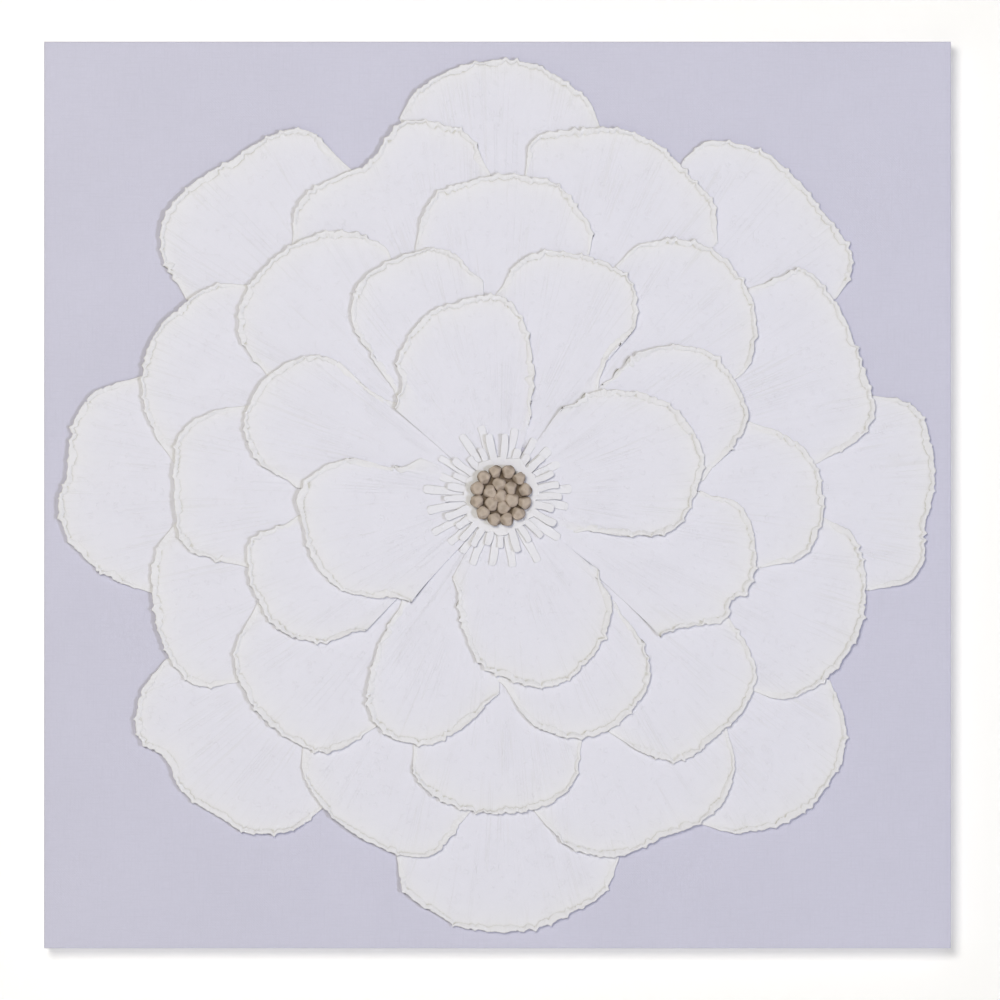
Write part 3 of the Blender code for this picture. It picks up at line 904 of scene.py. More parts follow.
@dataclass(frozen=True)
class Fingers:
    """The way that a rim is torn and folded by hand: the spans that each measure is drawn from."""

    pleat: tuple[float, float] = (8 * MM, 38 * MM)
    width: tuple[float, float] = (2.6 * MM, 6.4 * MM)
    belly: tuple[float, float] = (-0.8 * MM, 3.0 * MM)
    belly_power: float = 0.7
    waver: float = 0.20 * MM
    end_width: float = 2.4 * MM
    end_run: float = 26 * MM
    ridge: tuple[float, float] = (-0.15 * MM, 0.55 * MM)
    turned_share: float = 0.3
    lift: tuple[float, float] = (-0.8 * MM, 1.25 * MM)
    least_lift: float = 0.04 * MM
    tear: tuple[float, float] = (5 * MM, 22 * MM)
    last_tear: float = 6 * MM
    point_share: float = 0.55
    point: tuple[float, float] = (1.0 * MM, 3.6 * MM)
    nick_share: float = 0.25
    nick: tuple[float, float] = (-2.6 * MM, -0.9 * MM)
    reach: tuple[float, float] = (1.6 * MM, 5.0 * MM)
    sag: tuple[float, float] = (-0.5 * MM, 1.3 * MM)
    feather: tuple[float, float] = (0.35, 0.90)
    shade_depth: tuple[float, float] = (0.45, 1.0)

    @staticmethod
    def split(rng: np.random.Generator, total: float, step: tuple[float, float], last: float) -> np.ndarray:
        """Cut a length at random steps.

        Args:
            rng: the source of the random draws.
            total: the length.
            step: the shortest and the longest step.
            last: the least length that is left over at its end.

        Returns:
            The distances of the cuts, with both ends.
        """
        cuts = np.cumsum(rng.uniform(*step, int(total / step[0]) + 2))
        return np.concatenate(([0.0], cuts[cuts < total - last], [total]))

    @staticmethod
    def locate(cuts: np.ndarray, travelled: np.ndarray) -> tuple[np.ndarray, np.ndarray]:
        """Find the stretch between two cuts that each column lies in.

        Args:
            cuts: the distances of the cuts.
            travelled: distance along the rim for each column.

        Returns:
            For each column the stretch's number, and its place in it from 0 to 1.
        """
        owner = np.clip(np.searchsorted(cuts, travelled, side="right") - 1, 0, len(cuts) - 2)
        return owner, (travelled - cuts[owner]) / np.diff(cuts)[owner]

    def tear_outline(self, rng: np.random.Generator, travelled: np.ndarray) -> np.ndarray:
        """Give the outline blunt points and nicks, between which it sags or swells as half a sine.

        Args:
            rng: the source of the random draws.
            travelled: distance along the rim for each column.

        Returns:
            How far the outline stands out at each column.
        """
        tears = self.split(rng, travelled[-1], self.tear, self.last_tear)
        kind = rng.random(len(tears))
        point, nick = rng.uniform(*self.point, len(tears)), rng.uniform(*self.nick, len(tears))
        nicked = kind < self.point_share + self.nick_share
        size = np.where(kind < self.point_share, point, np.where(nicked, nick, 0.0))
        nearest = np.abs(travelled[:, None] - tears[None, :])
        reach = rng.uniform(*self.reach, len(tears))
        jut = (size * np.clip(1.0 - nearest / reach, 0.0, 1.0)).sum(axis=1)
        owner, share = self.locate(tears, travelled)
        sag = rng.uniform(*self.sag, len(tears))[owner]
        return jut - sag * np.sin(math.pi * np.clip(share, 0.0, 1.0))

    def fold(self, rng: np.random.Generator, travelled: np.ndarray) -> Pleats:
        """Cut the rim into pleats and shape each one.

        Within a pleat the fold's width goes evenly from one end to the other, plus a belly in between.
        Its torn edge lies pressed on the face, or it rises from one end to the other and drops at the
        next cut, so that the pleat laps the next. A crease runs along its middle. Towards both ends of
        the rim the fold narrows.

        Args:
            rng: the source of the random draws.
            travelled: distance along the rim for each column.

        Returns:
            The rim's pleats.
        """
        total = travelled[-1]
        cuts = self.split(rng, total, self.pleat, self.pleat[0])
        count = len(cuts) - 1
        owner, share = self.locate(cuts, travelled)
        swell = np.sin(math.pi * np.clip(share, 0.0, 1.0))
        first, last = rng.uniform(*self.width, (2, count))[:, owner]
        belly = rng.uniform(*self.belly, count)[owner]
        width = first + (last - first) * share + belly * swell ** self.belly_power
        width += self.waver * rng.standard_normal(len(travelled))
        inner = ease(np.minimum(travelled, total - travelled) / self.end_run)
        width = self.end_width + (width - self.end_width) * inner
        ridge = rng.uniform(*self.ridge, count)[owner] * swell
        turned = rng.random(count)[owner] < self.turned_share
        share = np.where(turned, 1.0 - share, share)
        lift = np.maximum(rng.uniform(*self.lift, count), 0.0)[owner] * share ** 2 + self.least_lift
        jut = self.tear_outline(rng, travelled)
        feather = rng.uniform(*self.feather, count)[owner]
        shade_depth = rng.uniform(*self.shade_depth, count)[owner]
        return Pleats(cuts, width, lift, ridge, jut, feather, shade_depth)


@dataclass(frozen=True)
class Section:
    """A petal's section at every column, with the number of the first row of each of its parts.

    Distance is measured in from the rim and height up from the sheet's back. The rows run out along the
    back, round the nose of the fold, in along its top, round its torn edge, back under it to the lip of
    the face, and in along the face to the base.
    """

    distance: np.ndarray
    height: np.ndarray
    nose: int
    top: int
    torn: int
    lip: int
    face: int


@dataclass
class Petal:
    """One petal: a sheet folded over along its rim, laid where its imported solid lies.

    The sheet's grid has a column for every fibre, from the rim to the base, and a row for every step round
    its section. The rows of the fold are laid square to the rim, and the others along the fibres. The torn
    outline shifts the fold sideways, and the face and the back less and less up to one and a half times
    shift_fade. Past the radius settle_from every petal comes down towards the canvas by the same slope, so
    that the petals keep their distances from one another. The cad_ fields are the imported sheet's
    thickness, and the gap in its fold where that is pressed flat.
    """

    name: str
    seed: int
    covered: float
    fingers: Fingers = Fingers()
    column: float = 1.55 * MM
    sheet: float = 0.75 * MM
    nose: float = 0.95 * MM
    pressed_nose: float = 0.60 * MM
    least_noses: float = 2.2
    flap_gap: float = 0.05 * MM
    ridge_at: float = 0.46
    ridge_half: float = 0.5
    tear_grain: float = 0.22 * MM
    tear_wave: float = 0.48 * MM
    crumple: float = 0.12 * MM
    rolling: float = 0.16 * MM
    creases: int = 26
    dent: float = 0.30 * MM
    ripple: float = 0.14 * MM
    bed_reach: float = 3.0
    squareness: float = 0.55
    lap: float = 1.2 * MM
    lap_run: float = 16 * MM
    settle_from: float = 208 * MM
    settle_slope: float = 0.021
    lap_rise: float = 0.45 * MM
    shift_fade: float = 10 * MM
    edge_tone: float = 0.8
    edge_fade: float = 16 * MM
    shade_fade: float = 0.9 * MM
    nose_shade: float = 0.35
    cad_sheet: float = 1.0 * MM
    cad_pressed: float = 0.1 * MM
    heel_points: int = 7
    flank_points: int = 2

    def read_outline(self, solid: Solid, back: np.ndarray) -> tuple[np.ndarray, np.ndarray]:
        """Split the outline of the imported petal's back into its rim and its base.

        The base is the run of seven points that lies nearest to the flower's centre, with two points of
        each side next to it. The rest, clockwise as the viewer sees it, is the rim.

        Args:
            solid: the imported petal.
            back: the triangles of its back.

        Returns:
            The rim and the base as (x, z) rows, both in the same turning sense.
        """
        loop = solid.points[Solid.border(back)][:, [0, 2]]
        distance = np.linalg.norm(loop - middle_of("fringe_short")[[0, 2]], axis=1)
        around = np.concatenate((distance, distance))
        runs = np.array([around[k:k + self.heel_points].sum() for k in range(len(loop))])
        loop = np.roll(loop, -int(runs.argmin()), axis=0)
        heel = loop[:self.heel_points][::-1]
        rim = loop[self.heel_points + self.flank_points:len(loop) - self.flank_points]
        return rim, heel

    def section(self, pleats: Pleats, free: np.ndarray, length: np.ndarray) -> Section:
        """The section of the folded sheet at every column.

        The flap's top rises from the nose as a square power, and it falls by the fourth power of the same
        share where its torn edge is feathered. The ridge is a tent over the flap's middle.

        Args:
            pleats: the rim's pleats.
            free: for each column, 1 where the rim is free and 0 where a petal covers it.
            length: for each column, the length of its fibre.

        Returns:
            The section.
        """
        nose = self.pressed_nose + (self.nose - self.pressed_nose) * free
        width = np.maximum(pleats.width, self.least_noses * nose)
        lift = pleats.lift * free
        fold = 2.0 * nose - self.sheet - self.flap_gap
        thinner = pleats.feather * np.maximum(fold, 0.0)
        shares = np.concatenate((np.linspace(1.0, 0.5, 4), [0.34, 0.22, 0.13, 0.07, 0.03, 0.0]))
        distance = [width + (length - width) * share for share in shares]
        height = [0.0 * width for _ in shares]
        for share in (0.6, 0.25):
            distance.append(nose + (width - nose) * share)
            height.append(0.0 * width)
        first_nose = len(distance)
        for angle in np.linspace(0.0, math.pi, 7):
            distance.append(nose * (1.0 - math.sin(angle)))
            height.append(nose * (1.0 - math.cos(angle)))
        first_top = len(distance)
        for share in (0.14, 0.30, 0.46, 0.62, 0.78, 0.92, 1.0):
            distance.append(nose + (width - nose) * share)
            tent = max(0.0, 1.0 - abs(share - self.ridge_at) / self.ridge_half)
            height.append(2.0 * nose + lift * share ** 2 + pleats.ridge * free * tent - thinner * share ** 4)
        first_torn = len(distance)
        top = 2.0 * nose + lift - thinner
        for angle in (math.pi / 3, 2 * math.pi / 3, math.pi):
            distance.append(width + 0.45 * (fold - thinner) * math.sin(angle))
            height.append(top - 0.5 * (fold - thinner) * (1.0 - math.cos(angle)))
        for share in (0.66, 0.3):
            distance.append(nose + (width - nose) * share)
            height.append(2.0 * nose - fold + lift * share ** 2)
        distance.append(nose * 0.9)
        height.append(self.sheet + self.flap_gap / 2 + 0.0 * width)
        first_lip = len(distance)
        for share in (0.3, 0.66, 1.0):
            distance.append(nose + (width - nose) * share)
            height.append(self.sheet + 0.0 * width)
        first_face = len(distance)
        near = np.array([0.006, 0.014, 0.026, 0.042, 0.062, 0.088, 0.12])
        face = np.concatenate((near, np.linspace(0.16, self.covered, 13),
                               np.linspace(self.covered, 1.0, 5)[1:]))
        for share in face:
            distance.append(width + (length - width) * share)
            height.append(self.sheet + 0.0 * width)
        return Section(np.stack(distance), np.stack(height), first_nose, first_top, first_torn, first_lip,
                       first_face)

    def relief(self, rng: np.random.Generator, x: np.ndarray, z: np.ndarray, distance: np.ndarray,
               length: np.ndarray, share: np.ndarray, pleats: Pleats, travelled: np.ndarray,
               square: np.ndarray) -> np.ndarray:
        """The unevenness of the face.

        It adds a rolling surface, creases that run with the fibres and fade in and out, a dent behind
        each cut of the rim, and a ripple beside the fold. The creases and dents have a bell section.

        Args:
            rng: the source of the random draws.
            x: first coordinate of each grid point.
            z: second coordinate.
            distance: distance from the rim.
            length: fibre length for each column.
            share: place of each column from 0 to 1.
            pleats: the rim's pleats.
            travelled: distance along the rim for each column.
            square: for each column, 1 where the rim stands square to the fibres and 0 where it runs
                along them.

        Returns:
            Heights to add to the face.
        """
        along = distance / length
        across = np.hypot(x[:, -1] - x[:, 0], z[:, -1] - z[:, 0])[:, None]
        rolling = self.rolling * waves(rng, x, z, 22 * MM, 75 * MM)
        count = self.creases
        places, depth = rng.uniform(0.04, 0.96, count), rng.uniform(-0.20, 0.10, count) * MM
        start, end = rng.uniform(-0.1, 0.5, count), rng.uniform(0.55, 1.1, count)
        width, swing = rng.uniform(0.9, 2.0, count) * MM, rng.uniform(0.0, 2 * math.pi, count)
        creases = np.zeros(x.shape)
        for k in range(count):
            off = (share - places[k]) * across + 1.5 * MM * np.sin(5.0 * along + swing[k])
            window = ease((along - start[k]) / 0.12) * ease((end[k] - along) / 0.2)
            creases += depth[k] * window * np.exp(-(off / width[k]) ** 2)
        dents = np.zeros(x.shape)
        for cut in pleats.cuts[1:-1]:
            off = (travelled - cut) * across / max(travelled[-1], MM)
            dents -= self.dent * np.exp(-(off / (1.5 * MM)) ** 2 - distance / (9 * MM))
        phase = rng.uniform(0.0, 2 * math.pi)
        ripple = self.ripple * np.sin(travelled / (2.1 * MM) + 2.0 * np.sin(travelled / (17 * MM)) + phase)
        return rolling + square * (creases + dents + ripple * np.exp(-distance / (10 * MM)))

    def widened(self, rim: np.ndarray, heel: np.ndarray,
                travelled: np.ndarray) -> tuple[np.ndarray, np.ndarray, np.ndarray]:
        """Move the two flanks outwards, so that the petal laps its neighbours.

        The shift stands square to the flank, and it fades along the rim as an even step.

        Args:
            rim: the rim, one (x, z) row for each column.
            heel: the base, likewise.
            travelled: distance along the rim for each column.

        Returns:
            The wider rim and base, and for each column how far the flank that laps over is lifted.
        """
        rise = np.zeros(len(rim))
        for end, inner, fade in ((0, -1, travelled), (-1, 0, travelled[-1] - travelled)):
            flank = rim[end] - heel[end]
            square = np.array((-flank[1], flank[0])) / np.linalg.norm(flank)
            square *= -np.sign(square @ (rim[inner] - rim[end]))
            weight = ease(1.0 - fade / self.lap_run)
            rim = rim + weight[:, None] * square * self.lap
            heel = heel + weight[:, None] * square * self.lap
            rise = rise + weight * self.lap_rise * (end == 0)
        return rim, heel, rise

    def build(self, finish: bpy.types.Material) -> bpy.types.Object:
        """Work out the petal and put it in place.

        Args:
            finish: its material.

        Returns:
            The petal.
        """
        rng = np.random.default_rng(self.seed)
        solid = Solid.read(self.name)
        back, face = solid.back(), solid.face()
        drawn, base = self.read_outline(solid, back)
        run = float(np.linalg.norm(np.diff(drawn, axis=0), axis=1).sum())
        columns = int(run / self.column) + 1
        share = np.linspace(0.0, 1.0, columns)
        rim = through(drawn, share * (len(drawn) - 1))
        heel = through(base, share * (len(base) - 1))
        step = np.gradient(rim, axis=0)
        pace = np.linalg.norm(step, axis=1)
        travelled = np.concatenate(([0.0], np.cumsum(pace[1:])))
        pleats = self.fingers.fold(rng, travelled)
        tear = self.tear_grain * rng.standard_normal(columns)
        tear += self.tear_wave * waves(rng, travelled, travelled, 4 * MM, 15 * MM)
        outward = np.stack((-step[:, 1], step[:, 0]), axis=1) / pace[:, None]
        fibre = heel - rim
        fibre /= np.linalg.norm(fibre, axis=1)[:, None]
        inside = rim + fibre * MM
        thick = (height_on(solid.points, face, inside[:, 0], inside[:, 1])
                 - height_on(solid.points, back, inside[:, 0], inside[:, 1]))
        free = ease((thick - self.cad_sheet - self.cad_pressed) / (self.cad_sheet - self.cad_pressed))
        square = ease(np.abs((outward * fibre).sum(axis=1)) / self.squareness)
        shift = outward * ((pleats.jut + tear) * free)[:, None]
        inward = np.stack([np.convolve(np.pad(-side, 4, "edge"), np.full(9, 1 / 9), "valid")
                           for side in outward.T], axis=1)
        rim, heel, rise = self.widened(rim, heel, travelled)
        fibre = heel - rim
        length = np.linalg.norm(fibre, axis=1)
        fibre /= length[:, None]
        section = self.section(pleats, free, length)
        distance = section.distance
        held = ease(1.5 - distance / self.shift_fade)
        x = rim[:, 0] + fibre[:, 0] * distance + shift[:, 0] * held
        z = rim[:, 1] + fibre[:, 1] * distance + shift[:, 1] * held
        folded = slice(section.nose, section.lip)
        x[folded] = rim[:, 0] + inward[:, 0] * distance[folded] + shift[:, 0]
        z[folded] = rim[:, 1] + inward[:, 1] * distance[folded] + shift[:, 1]
        bed = evened(height_on(solid.points, back, x, z), self.bed_reach)
        bed = bed - self.settle_slope * np.maximum(np.hypot(x, z) - self.settle_from, 0.0)
        uneven = self.relief(rng, x, z, distance, length, share, pleats, travelled, square)
        raised = np.zeros(x.shape)
        raised[section.face:] = uneven[section.face:]
        flap = slice(section.top - 2, section.torn + 1)
        crumple = self.crumple * waves(rng, x, z, 3 * MM, 12 * MM, 12)
        raised[flap] = (uneven + crumple)[flap] * free
        raised = raised + rise * np.clip(1.0 - distance / length, 0.25, 1.0)
        points = np.stack((x, canvas_front() - (bed + section.height + raised), z), axis=-1)
        rows = len(points)
        quads = np.concatenate((grid_faces(rows, columns), self.closing(rows, columns)))
        caps = [[k * columns for k in reversed(range(rows))],
                [k * columns + columns - 1 for k in range(rows)]]
        uv = np.stack(((share - 0.5) * run + 0.0 * distance, distance), axis=-1)
        past_fold = np.maximum(distance - pleats.width, 0.0)
        edge = self.edge_tone * np.exp(-past_fold / self.edge_fade)
        # Painted shade: a warm grey in the crease just past the flap's torn edge, fading onto the face, and a
        # fainter line along the nose of the fold.
        painted_shade = pleats.shade_depth * np.exp(-past_fold / self.shade_fade) * free
        painted_shade[:section.torn + 2] = 0.0
        painted_shade[section.top - 4:section.top - 1] = self.nose_shade
        opened = np.broadcast_to(square, distance.shape)
        return add_piece(self.name + "_paper", points.reshape(-1, 3), quads.tolist() + caps, finish,
                         (self.name,), uv.reshape(-1, 2) + self.seed * 0.37,
                         {"edge": edge.reshape(-1), "painted_shade": painted_shade.reshape(-1), "open": opened.reshape(-1)})

    @staticmethod
    def closing(rows: int, columns: int) -> np.ndarray:
        """The quads from the last row back to the first, along the base.

        Args:
            rows: how many rows the grid has.
            columns: how many columns.

        Returns:
            Four indices for each quad.
        """
        column = np.arange(columns - 1)
        last = (rows - 1) * columns
        return np.stack((last + column, column, column + 1, last + column + 1), axis=-1)


# Fringes


@dataclass
class Fringe:
    """A cut paper fringe: a collar and its strips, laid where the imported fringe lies.

    Each strip sways, droops and is cupped by its own amount, drawn from the spans sway, droop and cup,
    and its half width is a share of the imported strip's width. Past the strips' roots the collar rises by
    slope. Its profile is a list of (share of its radius, height in sheets from its middle).
    """

    name: str
    seed: int
    slope: float
    sheet: float = 0.6 * MM
    lifted: float = 1.1 * MM
    sway: tuple[float, float] = (-1.6, 1.6)
    droop: tuple[float, float] = (-1.5, 0.3)
    cup: tuple[float, float] = (-0.2, 0.5)
    half_share: tuple[float, float] = (0.52, 0.66)
    stations: int = 22
    around: int = 12
    upright: float = 0.7
    collar_steps: int = 96
    collar_reach: float = 6.0 * MM
    collar_profile: tuple[tuple[float, float], ...] = (
        (0.4, 0.5), (0.8, 0.5), (0.88, 0.5), (0.98, 0.35), (1.0, 0.0),
        (0.98, -0.35), (0.88, -0.5), (0.8, -0.5), (0.4, -0.5))
    collar_edge: float = 0.35

    def read_strips(self) -> tuple[np.ndarray, np.ndarray, np.ndarray]:
        """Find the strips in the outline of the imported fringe's back.

        A strip's tip is a point of the outline that lies further out than both its neighbours. Its
        knees come two points before and after the tip, and its roots three.

        Returns:
            For each strip three places along its middle, root, knee and tip, as (x, z) and height, its
            width, and the flower's centre.
        """
        solid = Solid.read(self.name)
        loop = solid.points[Solid.border(solid.back(self.upright))]
        centre = middle_of("seed_cluster")[[0, 2]]
        distance = np.linalg.norm(loop[:, [0, 2]] - centre, axis=1)
        tip = np.flatnonzero((distance > np.roll(distance, 1)) & (distance > np.roll(distance, -1)))
        count = len(loop)
        middle = np.stack([(loop[(tip - k) % count] + loop[(tip + k) % count]) / 2
                           for k in (3, 2, 0)], axis=1)
        width = np.linalg.norm(loop[(tip + 2) % count] - loop[(tip - 2) % count], axis=1)
        middle[:, :, 1] = canvas_front() - middle[:, :, 1]
        return middle[:, :, [0, 2, 1]], width, centre

    def strips(self, rng: np.random.Generator) -> tuple[np.ndarray, np.ndarray, np.ndarray]:
        """The strips as closed, slightly cupped ribbons with round ends.

        The middle line is the quadratic through root, knee and tip, pushed sideways by a squared sine. The
        section is a flat oval, whose sides stand higher or lower than its middle and which narrows to
        nothing at the tip along a round end.

        Args:
            rng: the source of the random draws.

        Returns:
            Points shaped (strips, stations, around, 3), marks and the centre.
        """
        middle, width, centre = self.read_strips()
        count = len(middle)
        t = 1.0 - (1.0 - np.linspace(0.0, 1.0, self.stations)) ** 1.5
        root, knee, tip = (middle[:, k][:, None, :] for k in range(3))
        s = t[None, :, None]
        line = root * (1 - s) * (1 - 2 * s) + knee * 4 * s * (1 - s) + tip * s * (2 * s - 1)
        heading = (tip - root)[:, 0, :2]
        long = np.linalg.norm(heading, axis=1)[:, None]
        heading /= long
        side = np.stack((-heading[:, 1], heading[:, 0]), axis=1)
        sway = rng.uniform(*self.sway, (count, 1)) * MM * np.sin(math.pi * 0.75 * t) ** 2
        line[:, :, :2] += side[:, None, :] * sway[:, :, None]
        line[:, :, 2] += rng.uniform(*self.droop, (count, 1)) * self.lifted * ease((t - 0.3) / 0.7)
        half = (width * rng.uniform(*self.half_share, count))[:, None]
        gone = long * (1.0 - t) / half
        round_end = np.clip(1.0 - (1.0 - np.minimum(gone, 1.0)) ** 3, 0.0, 1.0) ** (1 / 3)
        uneven = 1.0 + 0.07 * np.sin(9.0 * t + rng.uniform(0, 6, (count, 1)))
        half = half * round_end * uneven
        angle = np.linspace(0.0, 2.0 * math.pi, self.around, endpoint=False)
        across = half[:, :, None] * np.cos(angle)
        cupped = rng.uniform(*self.cup, (count, 1, 1)) * MM * np.cos(angle) ** 2
        cupped = cupped * ease(t / 0.4)[None, :, None]
        thin = self.sheet / 2 * (0.25 + 0.75 * round_end)[:, :, None]
        up = self.sheet / 2 + thin * np.sin(angle) * np.ones_like(across) + cupped
        points = np.empty((count, self.stations, self.around, 3))
        points[..., 0] = line[:, :, None, 0] + side[:, None, None, 0] * across
        points[..., 2] = line[:, :, None, 1] + side[:, None, None, 1] * across
        points[..., 1] = canvas_front() - (line[:, :, None, 2] + up)
        edge = np.broadcast_to(0.5 * np.abs(np.cos(angle)) ** 6, across.shape)
        return points, edge, centre

    def build(self, finish: bpy.types.Material) -> bpy.types.Object:
        """Work out the fringe and put it in place.

        Args:
            finish: its material.

        Returns:
            The fringe, collar and strips in one piece.
        """
        rng = np.random.default_rng(self.seed)
        points, edge, centre = self.strips(rng)
        count = len(points)
        ribbon = grid_faces(self.stations, self.around, ring=True)[:, ::-1]
        size = self.stations * self.around
        faces = [(ribbon + k * size).tolist() for k in range(count)]
        faces = [face for strip in faces for face in strip]
        for k in range(count):
            faces.append(list(range(k * size, k * size + self.around))[::-1])
            faces.append(list(range((k + 1) * size - self.around, (k + 1) * size)))
        roots = points[:, 0, :, :].reshape(-1, 3)
        start_radius = float(np.linalg.norm(roots[:, [0, 2]] - centre, axis=1).mean())
        radius = start_radius + self.collar_reach
        depth = float(points[:, 0, :, 1].mean())
        bearing = np.linspace(0.0, 2 * math.pi, self.collar_steps, endpoint=False)
        rings = []
        for reach, rise in self.collar_profile:
            wide = radius * reach * (1.0 + 0.035 * np.sin(2 * bearing - 0.4) + 0.03 * np.sin(7 * bearing)
                                     + 0.03 * np.sin(12 * bearing + 1.0) + 0.02 * np.sin(23 * bearing + 2.0))
            climb = self.slope * np.maximum(wide - start_radius, 0.0)
            rings.append(np.stack((centre[0] + wide * np.cos(bearing), depth - rise * self.sheet - climb,
                                   centre[1] + wide * np.sin(bearing)), axis=1))
        disc = grid_faces(len(rings), self.collar_steps, ring=True) + count * size
        faces += disc.tolist()
        start = count * size
        faces.append(list(range(start, start + self.collar_steps)))
        last = start + (len(rings) - 1) * self.collar_steps
        faces.append(list(range(last + self.collar_steps - 1, last - 1, -1)))
        every = np.concatenate((points.reshape(-1, 3), np.concatenate(rings)))
        collar = np.full(len(rings) * self.collar_steps, self.collar_edge)
        marks = np.concatenate((edge.reshape(-1), collar))
        return add_piece(self.name + "_paper", every, faces, finish, (self.name,), None,
                         {"edge": marks})


# Seeds


@dataclass
class Seeds:
    """The nineteen lumps of paper clay, each pinched into blunt facets by the fingers."""

    seed: int = 71
    facets: int = 9
    facet_reach: tuple[float, float] = (0.80, 0.98)
    farthest: float = 1.12
    rings: int = 26
    sectors: int = 40
    blunt: float = 17.0
    pits: float = 0.035
    ring_swell: float = 1.08
    cluster_swell: tuple[float, float] = (1.10, 1.20)
    cluster_ring: int = 6
    cluster_turn: float = 41.0
    cluster_pitch: float = 1.0
    cluster_sunk: float = 0.8 * MM
    bed_radius: float = 26 * MM
    bed_half: float = 1.6 * MM
    bed_drop: float = 4.4 * MM

    def lump(self, rng: np.random.Generator, centre: np.ndarray,
             radius: float) -> tuple[np.ndarray, np.ndarray]:
        """One lump as a grid over latitude and longitude, its poles at the front and the back.

        The distance from the centre along a direction d is (sum over facets of max(0, n.d/h)^p)^(-1/p),
        which is a solid with flat faces n at distances h, rounded where they meet.

        Args:
            rng: the source of the random draws.
            centre: its place.
            radius: its mean radius.

        Returns:
            Points shaped (rings, sectors, 3) and how much painted shade each gets, from 0 to 1.
        """
        latitude = np.linspace(0.0, math.pi, self.rings)[:, None]
        longitude = np.linspace(0.0, 2.0 * math.pi, self.sectors, endpoint=False)[None, :]
        way = np.stack((np.sin(latitude) * np.cos(longitude), -np.cos(latitude) + 0.0 * longitude,
                        np.sin(latitude) * np.sin(longitude)), axis=-1)
        turn = math.pi * (3.0 - math.sqrt(5.0)) * np.arange(self.facets) + rng.uniform(0, 6)
        rise = np.clip(np.linspace(-0.95, 0.95, self.facets) + rng.uniform(-0.14, 0.14, self.facets), -1, 1)
        flat = np.sqrt(1.0 - rise ** 2)
        normals = np.stack((flat * np.cos(turn), rise, flat * np.sin(turn)), axis=1)
        reach = rng.uniform(*self.facet_reach, self.facets)
        drawn = np.maximum(way @ normals.T, 0.0) / reach
        out = (drawn ** self.blunt).sum(axis=-1) ** (-1.0 / self.blunt)
        pits = waves(rng, way[..., 0] + 0.6 * way[..., 1], way[..., 2] - 0.5 * way[..., 1], 0.35, 1.1, 10)
        out = out * (1.0 + self.pits * pits)
        points = centre + radius * np.minimum(out, self.farthest)[..., None] * way
        # Painted shade: darker in the dents between facets and towards the back, away from the viewer.
        painted_clay_shade = ease((1.02 - out) / 0.3) * 0.45 + 0.85 * ease((way[..., 1] + 0.5) / 0.65)
        return points, np.clip(painted_clay_shade, 0.0, 1.0)

    def lumps(self, name: str, rng: np.random.Generator, centres: np.ndarray, radii: np.ndarray,
              finish: bpy.types.Material, node: str) -> bpy.types.Object:
        """One piece of one or more lumps.

        Args:
            name: the piece.
            rng: the source of the random draws.
            centres: a place for each lump.
            radii: a radius for each lump.
            finish: its material.
            node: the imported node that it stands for.

        Returns:
            The piece.
        """
        size = self.rings * self.sectors
        shell = grid_faces(self.rings, self.sectors, ring=True)
        points, marks, faces = [], [], []
        for k, (centre, radius) in enumerate(zip(centres, radii)):
            lump, painted_clay_shade = self.lump(rng, centre, radius)
            points.append(lump.reshape(-1, 3))
            marks.append(painted_clay_shade.reshape(-1))
            faces.append(shell + k * size)
        every, kept, faces = self.weld(np.concatenate(points), np.concatenate(faces))
        return add_piece(name, every, faces, finish, (node,), None,
                         {"painted_clay_shade": np.concatenate(marks)[kept]})

    @staticmethod
    def weld(points: np.ndarray, faces: np.ndarray) -> tuple[np.ndarray, np.ndarray, list[list[int]]]:
        """Merge the points that meet at the poles, and drop the corners that fall together.

        Args:
            points: every grid point.
            faces: the quads.

        Returns:
            The points that are left, their old numbers, and the faces on them.
        """
        keys = np.round(points / (0.0001 * MM)).astype(np.int64)
        _, kept, merged = np.unique(keys, axis=0, return_index=True, return_inverse=True)
        faces = merged.reshape(-1)[faces]
        following = np.roll(faces, -1, axis=1)
        trimmed = [[a for a, b in zip(face, after) if a != b]
                   for face, after in zip(faces.tolist(), following.tolist())]
        return points[kept], kept, trimmed

    def build(self, finish: bpy.types.Material) -> list[bpy.types.Object]:
        """Every seed of the outer ring, and the cluster in the middle.

        Args:
            finish: their material.

        Returns:
            The pieces.
        """
        rng = np.random.default_rng(self.seed)
        made = []
        names = sorted(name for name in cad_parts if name.startswith("seed_") and name != "seed_cluster")
        for name in names:
            low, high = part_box(name)
            radius = np.array([float(high[1] - low[1]) / 2 * self.ring_swell])
            made.append(self.lumps(name + "_clay", rng, middle_of(name)[None], radius, finish, name))
        low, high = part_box("seed_cluster")
        middle, height = middle_of("seed_cluster"), float(high[1] - low[1])
        turn = 2.0 * math.pi * np.arange(self.cluster_ring) / self.cluster_ring
        turn = np.radians(self.cluster_turn) + turn
        reach = self.cluster_pitch * height
        ring = middle + reach * np.stack((np.cos(turn), 0.0 * turn, np.sin(turn)), axis=1)
        centres = np.concatenate((middle[None], ring))
        centres[:, [0, 2]] += rng.uniform(-0.8, 0.8, (len(centres), 2)) * MM
        centres[:, 1] += self.cluster_sunk
        radii = height / 2 * rng.uniform(*self.cluster_swell, len(centres))
        made.append(self.lumps("seed_cluster_clay", rng, centres, radii, finish, "seed_cluster"))
        made.append(self.bed(middle, finish))
        return made

